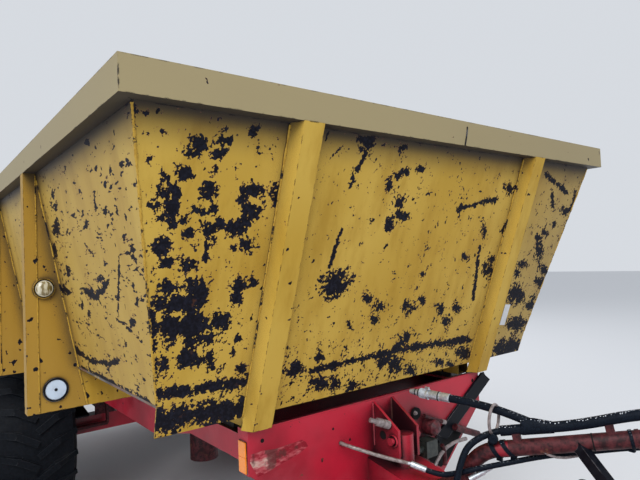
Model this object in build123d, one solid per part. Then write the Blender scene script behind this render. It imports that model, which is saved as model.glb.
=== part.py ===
from build123d import *
from math import cos, radians, sin, tan
import os

# Tandem-axle dump trailer with a tapered steel skip, shown parked on its drawbar jack.
# Millimetres. While modelling, x is measured forward from the front face of the skip's rim,
# y to the trailer's left and z up from the ground. The finished parts are moved so that the
# origin is the centre of the towing eye.

# Skip
skip_length = 5300.0
skip_width = 2550.0
rim_top = 2300.0
rim_height = 100.0
rim_depth = 100.0
rim_wall = 6.0
rim_overhang = 50.0
wall_sheet = 8.0
floor_sheet = 10.0
floor_level = 1316.0
floor_half_width = 1060.0
front_foot_x = -418.0
front_foot_level = 1202.0
front_foot_half_width = 1055.0
bearer_level = 1135.0

# Ribs of the skip
rib_first_x = -1334.0
rib_last_inset = 516.0
rib_count = 4
rib_depth = 60.0
rib_step = 3.0
rib_sheet = 6.0
front_rib_y = 665.0
front_rib_face = 80.0
front_rib_base = 124.0
front_rib_depth = 52.0
front_rib_level = 1151.0

# Underframe of the skip
bearer_sheet = 8.0
bed_beam_y = 633.0
bed_beam_width = 80.0
bed_beam_front_x = -480.0
sill_depth = 110.0
hinge_lug_sheet = 20.0
hinge_lug_radius = 60.0

# Tailgate
gate_sheet = 8.0
gate_frame = 60.0
gate_lap = 20.0
gate_foot_drop = 20.0
gate_rib_count = 3
gate_pivot_inset = 260.0
gate_pivot_rise = 75.0
gate_pin_radius = 17.5
gate_arm_sheet = 20.0
gate_arm_rise = 40.0
gate_bracket_sheet = 12.0
gate_bracket_foot = 120.0
gate_gap = 5.0

# Chassis
chassis_top = 1115.0
plate_top = 1143.0
beam_y = 633.0
beam_width = 120.0
beam_sheet = 10.0
beam_nose_depth = 100.0
beam_depth = 201.0
beam_nose_end_x = -956.0
beam_full_x = -1390.0
bolster_x = -436.0
bolster_sheet = 15.0
bolster_half_width = 693.0
bolster_side_depth = 168.0
bolster_return = 74.0
bolster_return_sheet = 6.0
bolster_foot_half_width = 330.0
bolster_foot_level = 650.0
cross_tube = 100.0
cross_tube_wall = 6.0
nose_cross_x = -760.0
rear_cross_inset = 200.0
ram_bay = 250.0
drawbar_pivot_x = -1190.0

# Tipping hinge
hinge_inset = 150.0
hinge_level = 1045.0
hinge_pin_radius = 30.0
hinge_boss_radius = 62.0
hinge_box_back = 200.0
hinge_box_front = 120.0
hinge_pin_end = 20.0
pin_clearance = 0.3

# Rest pads
pad_length = 260.0
pads_x = [-720.0, -2750.0]

# Drawbar and eye
eye_x = 1400.0
eye_radius = 25.0
eye_outer_radius = 60.0
eye_height = 45.0
eye_shank_radius = 36.0
eye_land = 5.0
eye_neck_gap = 110.0
drawbar_front_x = 1120.0
drawbar_rear_x = -1250.0
drawbar_top = 895.0
drawbar_slope = 0.19
drawbar_width = 220.0
drawbar_depth = 200.0
drawbar_front_width = 150.0
drawbar_front_depth = 150.0
drawbar_sheet = 10.0
pivot_pin_radius = 25.0
pivot_hanger_sheet = 14.0
pivot_hanger_width = 110.0
flange_side = 180.0
flange_sheet = 22.0

# Drawbar suspension
ear_y = 57.0
ear_sheet = 14.0
ear_front_x = -290.0
ear_front_top = 1030.0
ear_wall_top = 1128.0
strut_x = -318.0
strut_radius = 40.0
strut_pin_radius = 16.0
strut_pin_level = 985.0
strut_head = 20.0
strut_pin_end = 30.0
ear_play = 8.0

# Jack
jack_x = 640.0
jack_y = -200.0
jack_sleeve = 100.0
jack_sleeve_wall = 6.0
jack_sleeve_foot = 430.0
jack_sleeve_top = 1020.0
jack_leg_top = 600.0
jack_leg_wall = 6.0
jack_foot = 220.0
jack_foot_sheet = 12.0
jack_play = 0.5
jack_cap = 10.0
jack_bracket_width = 140.0
jack_bracket_inset = 25.0

# Running gear
tyre_radius = 585.0
tyre_width = 500.0
tyre_wall = 34.0
tyre_shoulder = 85.0
tyre_bead_inset = 30.0
tyre_bulge = 110.0
lug_depth = 22.0
lug_count = 24
lug_width = 40.0
lug_slant = 32.0
lug_bend = 14.0
lug_split = 140.0
lug_drop = 24.0
wheel_y = 1025.0
axle_front_x = -3100.0
axle_spacing = 1400.0
axle_section = 120.0
axle_stub_radius = 45.0
spring_y = 633.0
spring_width = 90.0
leaf_count = 7
leaf_thickness = 12.0
leaf_camber = 60.0
leaf_overhang = 80.0
spring_seat = 18.0
bogie_shaft_radius = 42.0
bogie_hub_radius = 50.0
hanger_sheet = 16.0
hanger_width = 220.0
bogie_saddle = 180.0
bogie_saddle_bite = 20.0
bogie_shaft_end = 12.0
rim_seat_radius = 285.0
rim_flange_radius = 305.0
rim_flange_sheet = 10.0
rim_sheet = 9.0
bead_gap = 6.0
disc_radius = 150.0
disc_sheet = 20.0
disc_offset = 40.0
hub_radius = 90.0
hub_inner = -130.0
hub_outer = 110.0
hub_cap = 30.0
drum_radius = 200.0
drum_inner = -200.0
drum_outer = -30.0
drum_sheet = 15.0
hand_hole_count = 8
hand_hole_radius = 24.0
hand_hole_ring = 216.0
stub_reach = 78.0
axle_beam_gap = 15.0

# Tipping ram
ram_x = -2300.0
ram_trunnion_level = 930.0
ram_foot_level = 400.0
ram_collar_level = 1050.0
ram_eye_level = 1225.0
ram_stage_count = 4
ram_barrel_radius = 98.0
ram_stage_step = 13.0
ram_wall = 6.0
ram_collar_step = 14.0
ram_gland = 40.0
ram_foot_step = 5.0
ram_trunnion_radius = 28.0
ram_trunnion_reach = 168.0
ram_pin_radius = 22.0
ram_base_sheet = 16.0
ram_ring_height = 90.0
ram_ring_step = 16.0
ram_neck_radius = 34.0
ram_head_radius = 38.0
ram_lug_gap = 50.0
ram_lug_sheet = 16.0
ram_lug_width = 110.0
ram_lug_base = 180.0
ram_lug_drop = 15.0
ram_lug_mouth = 60.0
ram_lug_play = 10.0
ram_pin_end = 4.0
ram_cradle_gap = 140.0
ram_cradle_sheet = 18.0
ram_cradle_drop = 50.0

# Lamps
marker_radius = 36.0
marker_ring = 9.0
marker_depth = 22.0
marker_y = 1200.0
marker_level = 1685.0
reflector_radius = 53.0
reflector_depth = 10.0
reflector_y = 1160.0
reflector_level = 1230.0
side_reflector_width = 54.0
side_reflector_height = 118.0
side_reflector_depth = 7.0
lamp_bar_x = -5230.0
lamp_bar_level = 720.0
lamp_bar_depth = 60.0
lamp_bar_height = 110.0
lamp_bar_half_width = 1150.0
lamp_bar_wall = 5.0
lamp_width = 240.0
lamp_height = 100.0
lamp_depth = 50.0
lamp_inset = 60.0

# Brakes
chamber_y = 470.0
chamber_radius = 72.0
chamber_length = 120.0
chamber_rise = 92.0
chamber_plate = 12.0
lever_reach = 115.0
lever_sheet = 16.0
camshaft_radius = 16.0
pushrod_radius = 9.0
backplate_radius = 180.0
backplate_sheet = 8.0
backplate_inset = 10.0

# Valves and stay on the bolster
valve_y = 245.0
valve_level = 862.0
valve_side = 76.0
valve_depth = 60.0
accumulator_y = 288.0
accumulator_level = 945.0
accumulator_radius = 40.0
accumulator_reach = 28.0
stay_outer = (752.0, 1112.0)
stay_inner = (349.0, 865.0)
stay_width = 45.0
stay_sheet = 8.0

# Hose arm over the drawbar
arm_radius = 31.0
arm_points = [(-88.0, 68.0, 800.0), (-62.0, 90.0, 905.0), (6.0, 119.0, 983.0),
              (483.0, 367.0, 1082.0), (860.0, 540.0, 1140.0)]
arm_bends = [110.0, 150.0, 900.0]
arm_foot = 130.0
arm_foot_sheet = 10.0
arm_plate = 150.0
arm_plate_height = 210.0
arm_plate_sheet = 10.0
prop_side = 38.0
prop_head = (304.0, 270.0, 1045.0)
prop_foot = (850.0, 45.0, 640.0)
saddle_shares = [0.12, 0.42, 0.86]
saddle_width = 30.0

# Hoses: points, then diameter
sleeve_diameter = 40.0
sleeve_points = [(60.0, 148.0, 1064.0), (140.0, 190.0, 1080.0), (310.0, 275.0, 1112.0),
                 (487.0, 366.0, 1172.0), (678.0, 457.0, 1198.0), (849.0, 535.0, 1224.0)]
feed_diameter = 33.0
feed_points = [(162.0, 203.0, 1105.0), (68.0, 176.0, 1133.0), (-35.0, 156.0, 1146.0),
               (-122.0, 135.0, 1154.0), (-206.0, 114.0, 1158.0)]
loop_diameter = 26.0
loop_points = [(46.0, 136.0, 1072.0), (-20.0, 70.0, 1040.0), (-44.0, 4.0, 920.0),
               (-50.0, -14.0, 822.0)]
return_diameter = 21.0
return_points = [(-177.0, -28.0, 894.0), (-132.0, 1.7, 876.9), (-75.0, 28.0, 893.0),
                 (-15.0, 46.0, 918.0), (60.0, 125.0, 939.0), (186.0, 247.0, 976.0),
                 (325.0, 322.0, 1008.0), (469.0, 394.0, 1044.0), (650.0, 478.0, 1064.0),
                 (828.0, 556.0, 1097.0)]
pipe_diameter = 15.0
pipe_points = [(-436.0, -261.0, 995.0), (-380.0, -240.0, 985.0), (-300.0, -150.0, 945.0),
               (-227.0, -61.0, 913.0)]
bend_share = 0.45
ferrule_share = 0.62

# Values that follow
rim_bottom = rim_top - rim_height
half_width = skip_width / 2
wall_top_half = half_width - rim_overhang
side_slope = (wall_top_half - floor_half_width) / (rim_bottom - floor_level)
front_slope = (-front_foot_x - rim_overhang) / (rim_bottom - front_foot_level)
floor_under = floor_level - floor_sheet
beam_inner = beam_y - beam_width / 2
beam_outer = beam_y + beam_width / 2
axle_level = tyre_radius
hinge_x = -skip_length + hinge_inset
rear_cross_x = hinge_x + rear_cross_inset
rib_pitch = (skip_length - rib_last_inset + rib_first_x) / (rib_count - 1)
axles_x = [axle_front_x, axle_front_x - axle_spacing]
bogie_x = sum(axles_x) / 2
ribs_x = [rib_first_x - i * rib_pitch for i in range(rib_count)]
jack_leg = jack_sleeve - 2 * jack_sleeve_wall - 2 * jack_play
eye_level = drawbar_top - drawbar_slope * (drawbar_front_x - bolster_x) - drawbar_front_depth / 2
origin = Vector(eye_x, 0, eye_level)
sides = {"left": 1, "right": -1}
axle_names = ["front", "rear"]


def side_y(z):
    return wall_top_half - side_slope * (rim_bottom - z)


def front_x(z):
    return -rim_overhang - front_slope * (rim_bottom - z)


def write(name, *shapes):
    pieces = [piece for shape in shapes for piece in (Pos(-origin) * shape).solids()]
    whole = pieces[0] if len(pieces) == 1 else Compound(pieces)
    export_step(whole, f"parts/{name}.step")


def block(xs, ys, zs):
    size = [max(pair) - min(pair) for pair in (xs, ys, zs)]
    centre = [sum(pair) / 2 for pair in (xs, ys, zs)]
    return Pos(*centre) * Box(*size)


def solid_between(low_points, high_points):
    low = make_face(Polyline(*low_points, close=True))
    high = make_face(Polyline(*high_points, close=True))
    return loft([low, high], ruled=True)


def slab(z0, xs0, ys0, z1, xs1, ys1):
    def corners(z, xs, ys):
        return [(xs[0], ys[0], z), (xs[1], ys[0], z), (xs[1], ys[1], z), (xs[0], ys[1], z)]
    return solid_between(corners(z0, xs0, ys0), corners(z1, xs1, ys1))


def girder(x0, ys0, zs0, x1, ys1, zs1):
    def corners(x, ys, zs):
        return [(x, ys[0], zs[0]), (x, ys[1], zs[0]), (x, ys[1], zs[1]), (x, ys[0], zs[1])]
    return solid_between(corners(x0, ys0, zs0), corners(x1, ys1, zs1))


def prism_x(points, low, high):
    face = make_face(Polyline(*[(low, y, z) for y, z in points], close=True))
    return extrude(face, amount=high - low, dir=(1, 0, 0))


def prism_y(points, low, high):
    face = make_face(Polyline(*[(x, low, z) for x, z in points], close=True))
    return extrude(face, amount=high - low, dir=(0, 1, 0))


def prism_z(points, low, high):
    face = make_face(Polyline(*[(x, y, low) for x, y in points], close=True))
    return extrude(face, amount=high - low, dir=(0, 0, 1))


def rod(start, end, radius):
    start = Vector(*start)
    end = Vector(*end)
    plane = Plane(origin=start, z_dir=end - start)
    return extrude(plane * Circle(radius), amount=(end - start).length)


def mirrored(shape):
    return mirror(shape, about=Plane.XZ)


# Skip walls

def front_wall():
    back = wall_sheet
    foot, bend, top = front_foot_level, floor_level, rim_bottom
    lower = slab(foot, (front_x(foot) - back, front_x(foot)),
                 (-front_foot_half_width, front_foot_half_width),
                 bend, (front_x(bend) - back, front_x(bend)),
                 (-floor_half_width, floor_half_width))
    upper = slab(bend, (front_x(bend) - back, front_x(bend)), (-side_y(bend), side_y(bend)),
                 top, (front_x(top) - back, front_x(top)), (-side_y(top), side_y(top)))
    return lower + upper


def side_wall():
    low, high = floor_level, rim_bottom
    rear = -skip_length + rim_depth
    return slab(low, (rear, front_x(low) - wall_sheet), (side_y(low) - wall_sheet, side_y(low)),
                high, (rear, front_x(high) - wall_sheet), (side_y(high) - wall_sheet, side_y(high)))


def floor():
    front = front_x(floor_level) - wall_sheet
    under = front_x(floor_under) - wall_sheet
    rear = -skip_length
    low_half = side_y(floor_under)
    return slab(floor_under, (rear, under), (-low_half, low_half),
                floor_level, (rear, front), (-floor_half_width, floor_half_width))


def rim_rail(outer, inner):
    rail = prism_z(outer, rim_bottom, rim_top)
    return rail - prism_z(inner, rim_bottom + rim_wall, rim_top - rim_wall)


def front_rail():
    d, w, h = rim_depth, rim_wall, half_width
    reach = d
    outer = [(0, -h), (0, h), (-d, h - d), (-d, -h + d)]
    inner = [(-w, -h + w - reach), (-w, h - w + reach), (-d + w, h - d + w + reach),
             (-d + w, -h + d - w - reach)]
    return rim_rail(outer, inner)


def side_rail():
    d, w, h = rim_depth, rim_wall, half_width
    rear = -skip_length
    reach = d
    outer = [(rear, h), (0, h), (-d, h - d), (rear, h - d)]
    inner = [(rear + w, h - w), (-w + reach, h - w), (-d + w + reach, h - d + w),
             (rear + w, h - d + w)]
    return rim_rail(outer, inner)


# Ribs

def front_rib():
    def section(z, inset, back):
        face = front_x(z) + front_rib_depth - inset
        wall = front_x(z) - back
        half_face = front_rib_face / 2 - inset
        half_base = front_rib_base / 2 - inset
        return [(wall, front_rib_y - half_base, z), (face, front_rib_y - half_face, z),
                (face, front_rib_y + half_face, z), (wall, front_rib_y + half_base, z)]
    low, high = front_rib_level, rim_bottom
    outer = solid_between(section(low, 0, 0), section(high, 0, 0))
    inner = solid_between(section(low, rib_sheet, 2), section(high, rib_sheet, 2))
    return outer - inner


def side_rib(x):
    low, high = bearer_level, rim_bottom
    fold = wall_top_half
    back = x - rib_depth
    channel = block((back, x), (fold, half_width), (low, high))
    plate_x = (back + rib_step, x - rib_step)
    gusset = prism_x([(side_y(low), low), (fold, low), (fold, high)], *plate_x)
    hollow_x = (back + rib_step + rib_sheet, x - rib_step - rib_sheet)
    reach = half_width - rib_sheet
    hollow = slab(low, hollow_x, (side_y(low) - 1, reach), high, hollow_x, (side_y(high) - 1, reach))
    return channel + gusset - hollow


# Underframe of the skip

def cross_bearer(x):
    low, high = bearer_level, floor_under
    plate_x = (x - rib_depth + rib_step, x - rib_step)
    bar = slab(low, plate_x, (-side_y(low), side_y(low)), high, plate_x, (-side_y(high), side_y(high)))
    hollow = block((plate_x[0] - 1, plate_x[1] - bearer_sheet), (-half_width, half_width),
                   (low + bearer_sheet, high - bearer_sheet))
    bar = bar - hollow
    half = bed_beam_width / 2
    for side in sides.values():
        bar = bar - block(plate_x, (side * bed_beam_y - half, side * bed_beam_y + half), (low, high))
    return bar


def bed_beam():
    ys = (bed_beam_y - bed_beam_width / 2, bed_beam_y + bed_beam_width / 2)
    rear = -skip_length + sill_depth
    beam = block((rear, bed_beam_front_x), ys, (bearer_level, floor_under))
    hollow = block((rear - 1, bed_beam_front_x + 1), (ys[0] + rib_sheet, ys[1] - rib_sheet),
                   (bearer_level + rib_sheet, floor_under - rib_sheet))
    return beam - hollow


def rear_frame():
    low, high = bearer_level, rim_bottom
    rear, front = -skip_length, -skip_length + rim_depth
    post = slab(low, (rear, front), (side_y(low) - wall_sheet, half_width),
                high, (rear, front), (side_y(high) - wall_sheet, half_width))
    half = side_y(floor_under)
    sill = block((rear, rear + sill_depth), (-half, half), (low, floor_under))
    hollow = block((rear + bearer_sheet, rear + sill_depth - bearer_sheet), (-half, half),
                   (low + bearer_sheet, floor_under - bearer_sheet))
    above = block((rear - 1, front + 1), (-floor_half_width, floor_half_width), (floor_under, floor_level))
    return (post - above) + (mirrored(post) - above) + sill - hollow


def hinge_lug(centre_y):
    ys = (centre_y - hinge_lug_sheet / 2, centre_y + hinge_lug_sheet / 2)
    start = (hinge_x, ys[0], hinge_level)
    end = (hinge_x, ys[1], hinge_level)
    eye = rod(start, end, hinge_lug_radius)
    r = hinge_lug_radius
    web = prism_y([(hinge_x - r, hinge_level), (hinge_x + r, hinge_level),
                   (hinge_x + 2 * r, floor_under), (hinge_x - r, floor_under)], *ys)
    bore = rod((hinge_x, ys[0] - 1, hinge_level), (hinge_x, ys[1] + 1, hinge_level),
               hinge_pin_radius + pin_clearance)
    sill = block((-skip_length - 1, -skip_length + sill_depth), (-skip_width, skip_width),
                 (bearer_level, floor_under + 1))
    return eye + web - bore - sill


def ram_lug(side):
    ys = sorted((side * ram_lug_gap, side * (ram_lug_gap + ram_lug_sheet)))
    top, base, low = ram_lug_width / 2, ram_lug_base / 2, ram_eye_level - ram_lug_drop
    web = prism_y([(ram_x - top, low), (ram_x + top, low), (ram_x + base, floor_under),
                   (ram_x - base, floor_under)], *ys)
    seat = ram_pin_radius + pin_clearance
    slot = rod((ram_x, ys[0] - 1, ram_eye_level), (ram_x, ys[1] + 1, ram_eye_level), seat)
    mouth_foot = ram_eye_level - ram_lug_mouth
    mouth = prism_y([(ram_x - seat, ram_eye_level), (ram_x + seat, ram_eye_level),
                     (ram_x + 2 * seat, mouth_foot), (ram_x - 2 * seat, mouth_foot)],
                    ys[0] - 1, ys[1] + 1)
    return web - slot - mouth


# Tailgate

gate_front_x = -skip_length - gate_gap
gate_pivot_x = -skip_length + gate_pivot_inset
gate_pivot_level = rim_top + gate_pivot_rise
gate_foot = bearer_level + gate_foot_drop


def gate_panel():
    low, high = gate_foot, rim_top - gate_lap
    half_low = side_y(low) + gate_lap
    half_high = side_y(high) + gate_lap
    xs = (gate_front_x - gate_sheet, gate_front_x)
    return slab(low, xs, (-half_low, half_low), high, xs, (-half_high, half_high))


def gate_bars():
    low, high = gate_foot, rim_top - gate_lap
    front = gate_front_x - gate_sheet
    back = front - gate_frame
    bars = []
    for z in (low, high - gate_frame):
        half = side_y(z) + gate_lap - 2
        bars.append(block((back, front), (-half, half), (z, z + gate_frame)))
    pitch = 2 * side_y(low) / (gate_rib_count + 1)
    for i in range(gate_rib_count):
        y = -side_y(low) + (i + 1) * pitch
        bars.append(block((back, front), (y - gate_frame / 2, y + gate_frame / 2),
                          (low + gate_frame, high - gate_frame)))
    whole = bars[0]
    for bar in bars[1:]:
        whole += bar
    return whole


def gate_arm():
    y = half_width - rim_depth / 2
    ys = (y - gate_arm_sheet / 2, y + gate_arm_sheet / 2)
    back = gate_front_x - gate_sheet
    low = rim_top + gate_gap
    foot = rim_top - gate_lap - gate_frame
    top = gate_pivot_level + gate_arm_rise
    outline = [(gate_pivot_x, top), (gate_pivot_x, low), (gate_front_x, low),
               (gate_front_x, foot), (back - gate_frame, foot), (back - gate_frame, top)]
    nose = rod((gate_pivot_x, ys[0], gate_pivot_level), (gate_pivot_x, ys[1], gate_pivot_level),
               gate_arm_rise)
    bore = rod((gate_pivot_x, ys[0] - 1, gate_pivot_level), (gate_pivot_x, ys[1] + 1, gate_pivot_level),
               gate_pin_radius + pin_clearance)
    return prism_y(outline, *ys) + nose - bore - gate_panel() - gate_bars()


def gate_brackets():
    y = half_width - rim_depth / 2
    plates = []
    for k in (-1, 1):
        inner = y + k * (gate_arm_sheet / 2 + gate_gap)
        ys = sorted((inner, inner + k * gate_bracket_sheet))
        half = gate_bracket_foot / 2
        top = gate_pivot_level + half / 2
        plate = prism_y([(gate_pivot_x - half, rim_top), (gate_pivot_x + half, rim_top),
                         (gate_pivot_x + half / 2, top), (gate_pivot_x - half / 2, top)], *ys)
        bore = rod((gate_pivot_x, ys[0] - 1, gate_pivot_level), (gate_pivot_x, ys[1] + 1, gate_pivot_level),
                   gate_pin_radius + pin_clearance)
        plates.append(plate - bore)
    return plates


def gate_pin():
    y = half_width - rim_depth / 2
    reach = gate_arm_sheet / 2 + gate_gap + 2 * gate_bracket_sheet
    return rod((gate_pivot_x, y - reach, gate_pivot_level), (gate_pivot_x, y + reach, gate_pivot_level),
               gate_pin_radius)


# Chassis

def main_beam():
    def outline(inset):
        top = chassis_top - inset
        nose = chassis_top - beam_nose_depth + inset
        deep = chassis_top - beam_depth + inset
        front = bolster_x - bolster_sheet
        return [(front, top), (front, nose), (beam_nose_end_x, nose), (beam_full_x, deep),
                (hinge_x, deep), (hinge_x, top)]
    beam = prism_y(outline(0), beam_inner, beam_outer)
    boss = rod((hinge_x, beam_inner, hinge_level), (hinge_x, beam_outer, hinge_level), hinge_boss_radius)
    bore = rod((hinge_x, beam_inner - 1, hinge_level), (hinge_x, beam_outer + 1, hinge_level),
               hinge_pin_radius + pin_clearance)
    hollow = prism_y(outline(beam_sheet), beam_inner - 1, beam_outer - beam_sheet)
    solid_end = block((hinge_x - hinge_box_back, hinge_x + hinge_box_front), (0, half_width), (0, rim_top))
    hollow = hollow - solid_end
    return beam + boss - hollow - bore


def hinge_pin():
    reach = beam_width / 2 + hinge_lug_sheet + hinge_pin_end
    return rod((hinge_x, beam_y - reach, hinge_level), (hinge_x, beam_y + reach, hinge_level), hinge_pin_radius)


def rest_pad(x):
    return block((x - pad_length / 2, x + pad_length / 2),
                 (beam_y - bed_beam_width / 2, beam_y + bed_beam_width / 2),
                 (chassis_top, bearer_level - pin_clearance))


def cross_member(x, height):
    level = chassis_top - beam_sheet
    reach = beam_outer - beam_sheet
    half, w = cross_tube / 2, cross_tube_wall
    tube = block((x - half, x + half), (-reach, reach), (level - height, level))
    return tube - block((x - half + w, x + half - w), (-reach - 1, reach + 1), (level - height + w, level - w))


def drawbar_pivot():
    level = chassis_top - beam_sheet - cross_tube
    centre = sum(drawbar_levels(bolster_x)) / 2
    foot = centre - pivot_hanger_width / 2
    half = pivot_hanger_width / 2
    inner = drawbar_width / 2 + 1
    outer = inner + pivot_hanger_sheet
    x = drawbar_pivot_x
    hanger = block((x - half, x + half), (inner, outer), (foot, level))
    pin = rod((x, -outer, centre), (x, outer, centre), pivot_pin_radius)
    return cross_member(x, cross_tube) + hanger + mirrored(hanger) + pin


def cross_members():
    # x, height
    table = [(nose_cross_x, beam_nose_depth - 2 * beam_sheet), (ram_x + ram_bay, cross_tube),
             (ram_x - ram_bay, cross_tube), (bogie_x, cross_tube), (rear_cross_x, cross_tube)]
    return [cross_member(x, height) for x, height in table] + [drawbar_pivot()]


def drawbar_levels(x):
    top = drawbar_top - drawbar_slope * (x - bolster_x)
    share = (x - bolster_x) / (drawbar_front_x - bolster_x)
    depth = drawbar_depth + share * (drawbar_front_depth - drawbar_depth)
    return top - depth, top


def drawbar(inset=0.0):
    def ys(width):
        return (-width / 2 + inset, width / 2 - inset)
    def zs(levels):
        return (levels[0] + inset, levels[1] - inset)
    rear_levels = drawbar_levels(bolster_x)
    front_levels = drawbar_levels(drawbar_front_x)
    rear = girder(drawbar_rear_x + inset, ys(drawbar_width), zs(rear_levels),
                  bolster_x, ys(drawbar_width), zs(rear_levels))
    nose = girder(bolster_x, ys(drawbar_width), zs(rear_levels),
                  drawbar_front_x, ys(drawbar_front_width), zs(front_levels))
    return rear + nose


def drawbar_box():
    centre = sum(drawbar_levels(bolster_x)) / 2
    half = drawbar_width / 2 + 1
    bore = rod((drawbar_pivot_x, -half, centre), (drawbar_pivot_x, half, centre),
               pivot_pin_radius + pin_clearance)
    return drawbar() - drawbar(drawbar_sheet) - bore


def bolster():
    h, foot = bolster_half_width, bolster_foot_half_width
    side_low = plate_top - bolster_side_depth
    outline = [(-h, plate_top), (h, plate_top), (h, side_low), (foot, bolster_foot_level),
               (-foot, bolster_foot_level), (-h, side_low)]
    plate = prism_x(outline, bolster_x - bolster_sheet, bolster_x)
    side = block((bolster_x - bolster_return, bolster_x), (h, h + bolster_return_sheet),
                 (side_low, plate_top))
    return plate + side + mirrored(side) - drawbar()


def ear(y):
    back = bolster_x
    low = drawbar_levels(back)[1] + ear_play
    outline = [(back, ear_wall_top), (ear_front_x, ear_front_top), (ear_front_x, low), (back, low)]
    plate = prism_y(outline, y - ear_sheet / 2, y + ear_sheet / 2)
    return plate - rod((strut_x, y - ear_sheet, strut_pin_level), (strut_x, y + ear_sheet, strut_pin_level),
                       strut_pin_radius)


def strut():
    low = drawbar_levels(strut_x + strut_radius)[1]
    reach = ear_y + strut_pin_end
    barrel = rod((strut_x, 0, low), (strut_x, 0, strut_pin_level + strut_head), strut_radius)
    pin = rod((strut_x, -reach, strut_pin_level), (strut_x, reach, strut_pin_level), strut_pin_radius)
    return barrel + pin - drawbar()


def towing_eye():
    half = eye_height / 2
    start = (drawbar_front_x + flange_sheet, 0, eye_level)
    ring = Pos(eye_x, 0, eye_level) * Cylinder(eye_outer_radius, eye_height)
    shank = rod(start, (eye_x - eye_radius - eye_land, 0, eye_level), eye_shank_radius)
    shank &= block((drawbar_front_x, eye_x), (-flange_side, flange_side), (eye_level - half, eye_level + half))
    neck = rod(start, (eye_x - eye_neck_gap, 0, eye_level), eye_shank_radius)
    flange = block((drawbar_front_x, drawbar_front_x + flange_sheet), (-flange_side / 2, flange_side / 2),
                   (eye_level - flange_side / 2, eye_level + flange_side / 2))
    bore = Pos(eye_x, 0, eye_level) * Cylinder(eye_radius, eye_height * 2)
    return ring + shank + neck + flange - bore


# Jack

def square_tube(side, wall, low, high):
    s = side / 2
    tube = block((jack_x - s, jack_x + s), (jack_y - s, jack_y + s), (low, high))
    if wall:
        i = s - wall
        tube = tube - block((jack_x - i, jack_x + i), (jack_y - i, jack_y + i), (low - 1, high + 1))
    return tube


def jack_sleeve_part():
    sleeve = square_tube(jack_sleeve, jack_sleeve_wall, jack_sleeve_foot, jack_sleeve_top)
    cap = square_tube(jack_sleeve, 0, jack_sleeve_top, jack_sleeve_top + jack_cap)
    low, high = drawbar_levels(jack_x)
    bracket = block((jack_x - jack_bracket_width / 2, jack_x + jack_bracket_width / 2),
                    (jack_y + jack_sleeve / 2, 0), (low + jack_bracket_inset, high - jack_bracket_inset))
    return sleeve + cap + (bracket - drawbar())


def jack_leg_part():
    return square_tube(jack_leg, jack_leg_wall, jack_foot_sheet, jack_leg_top)


def jack_foot_part():
    return Pos(jack_x, jack_y, jack_foot_sheet / 2) * Box(jack_foot, jack_foot, jack_foot_sheet)


# Running gear

def ring_about_y(points, x, y, z):
    face = make_face(Polyline(*[(0, a, r) for a, r in points], close=True))
    return Pos(x, y, z) * revolve(face, Axis.Y)


def tyre_carcass(x, side):
    w, r, t = tyre_width / 2, tyre_radius - lug_depth, tyre_wall
    bead = rim_seat_radius + 1
    lip = rim_flange_radius + bead_gap
    seat = w - tyre_bead_inset
    belly = bead + tyre_bulge
    shoulder = r - tyre_shoulder
    half = [(seat, bead), (seat, lip), (w, belly), (w, shoulder), (w - t, r - t / 2), (w / 3, r)]
    inside = [(w - 3 * t, r - t), (w - t, shoulder), (w - t, belly), (seat - t, lip), (seat - t, bead)]
    outside = half + [(-y, q) for y, q in reversed(half)]
    points = outside + [(-y, q) for y, q in reversed(inside)] + inside
    return ring_about_y(points, x, side * wheel_y, axle_level)


def lug(side):
    # One curved lug at the top of the tyre: a straight bar near the middle and one over the shoulder.
    depth = 2 * lug_depth
    seat = tyre_radius - depth / 2
    inner = Rot(0, 0, side * lug_slant) * Pos(0, side * lug_split / 2, seat) * Box(lug_width, lug_split, depth)
    reach = tyre_width / 2 - lug_split * cos(radians(lug_slant)) + lug_depth
    knee = Pos(-lug_split * sin(radians(lug_slant)), side * lug_split * cos(radians(lug_slant)), seat)
    lean = Rot(-side * lug_drop, 0, side * lug_bend)
    outer = knee * lean * Pos(0, side * (reach / 2 - lug_depth), -lug_depth / 4) * Box(lug_width, reach, depth)
    return inner + outer


def tyre(x, side):
    pitch = 360 / lug_count
    lugs = [Rot(0, (i + share) * pitch, 0) * lug(hand)
            for hand, share in ((1, 0), (-1, 0.5)) for i in range(lug_count)]
    hub = Pos(x, side * wheel_y, axle_level)
    limit = hub * Rot(90, 0, 0) * Cylinder(tyre_radius, tyre_width)
    tread = hub * (lugs[0].fuse(*lugs[1:]))
    return tyre_carcass(x, side).fuse(tread & limit)


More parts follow.
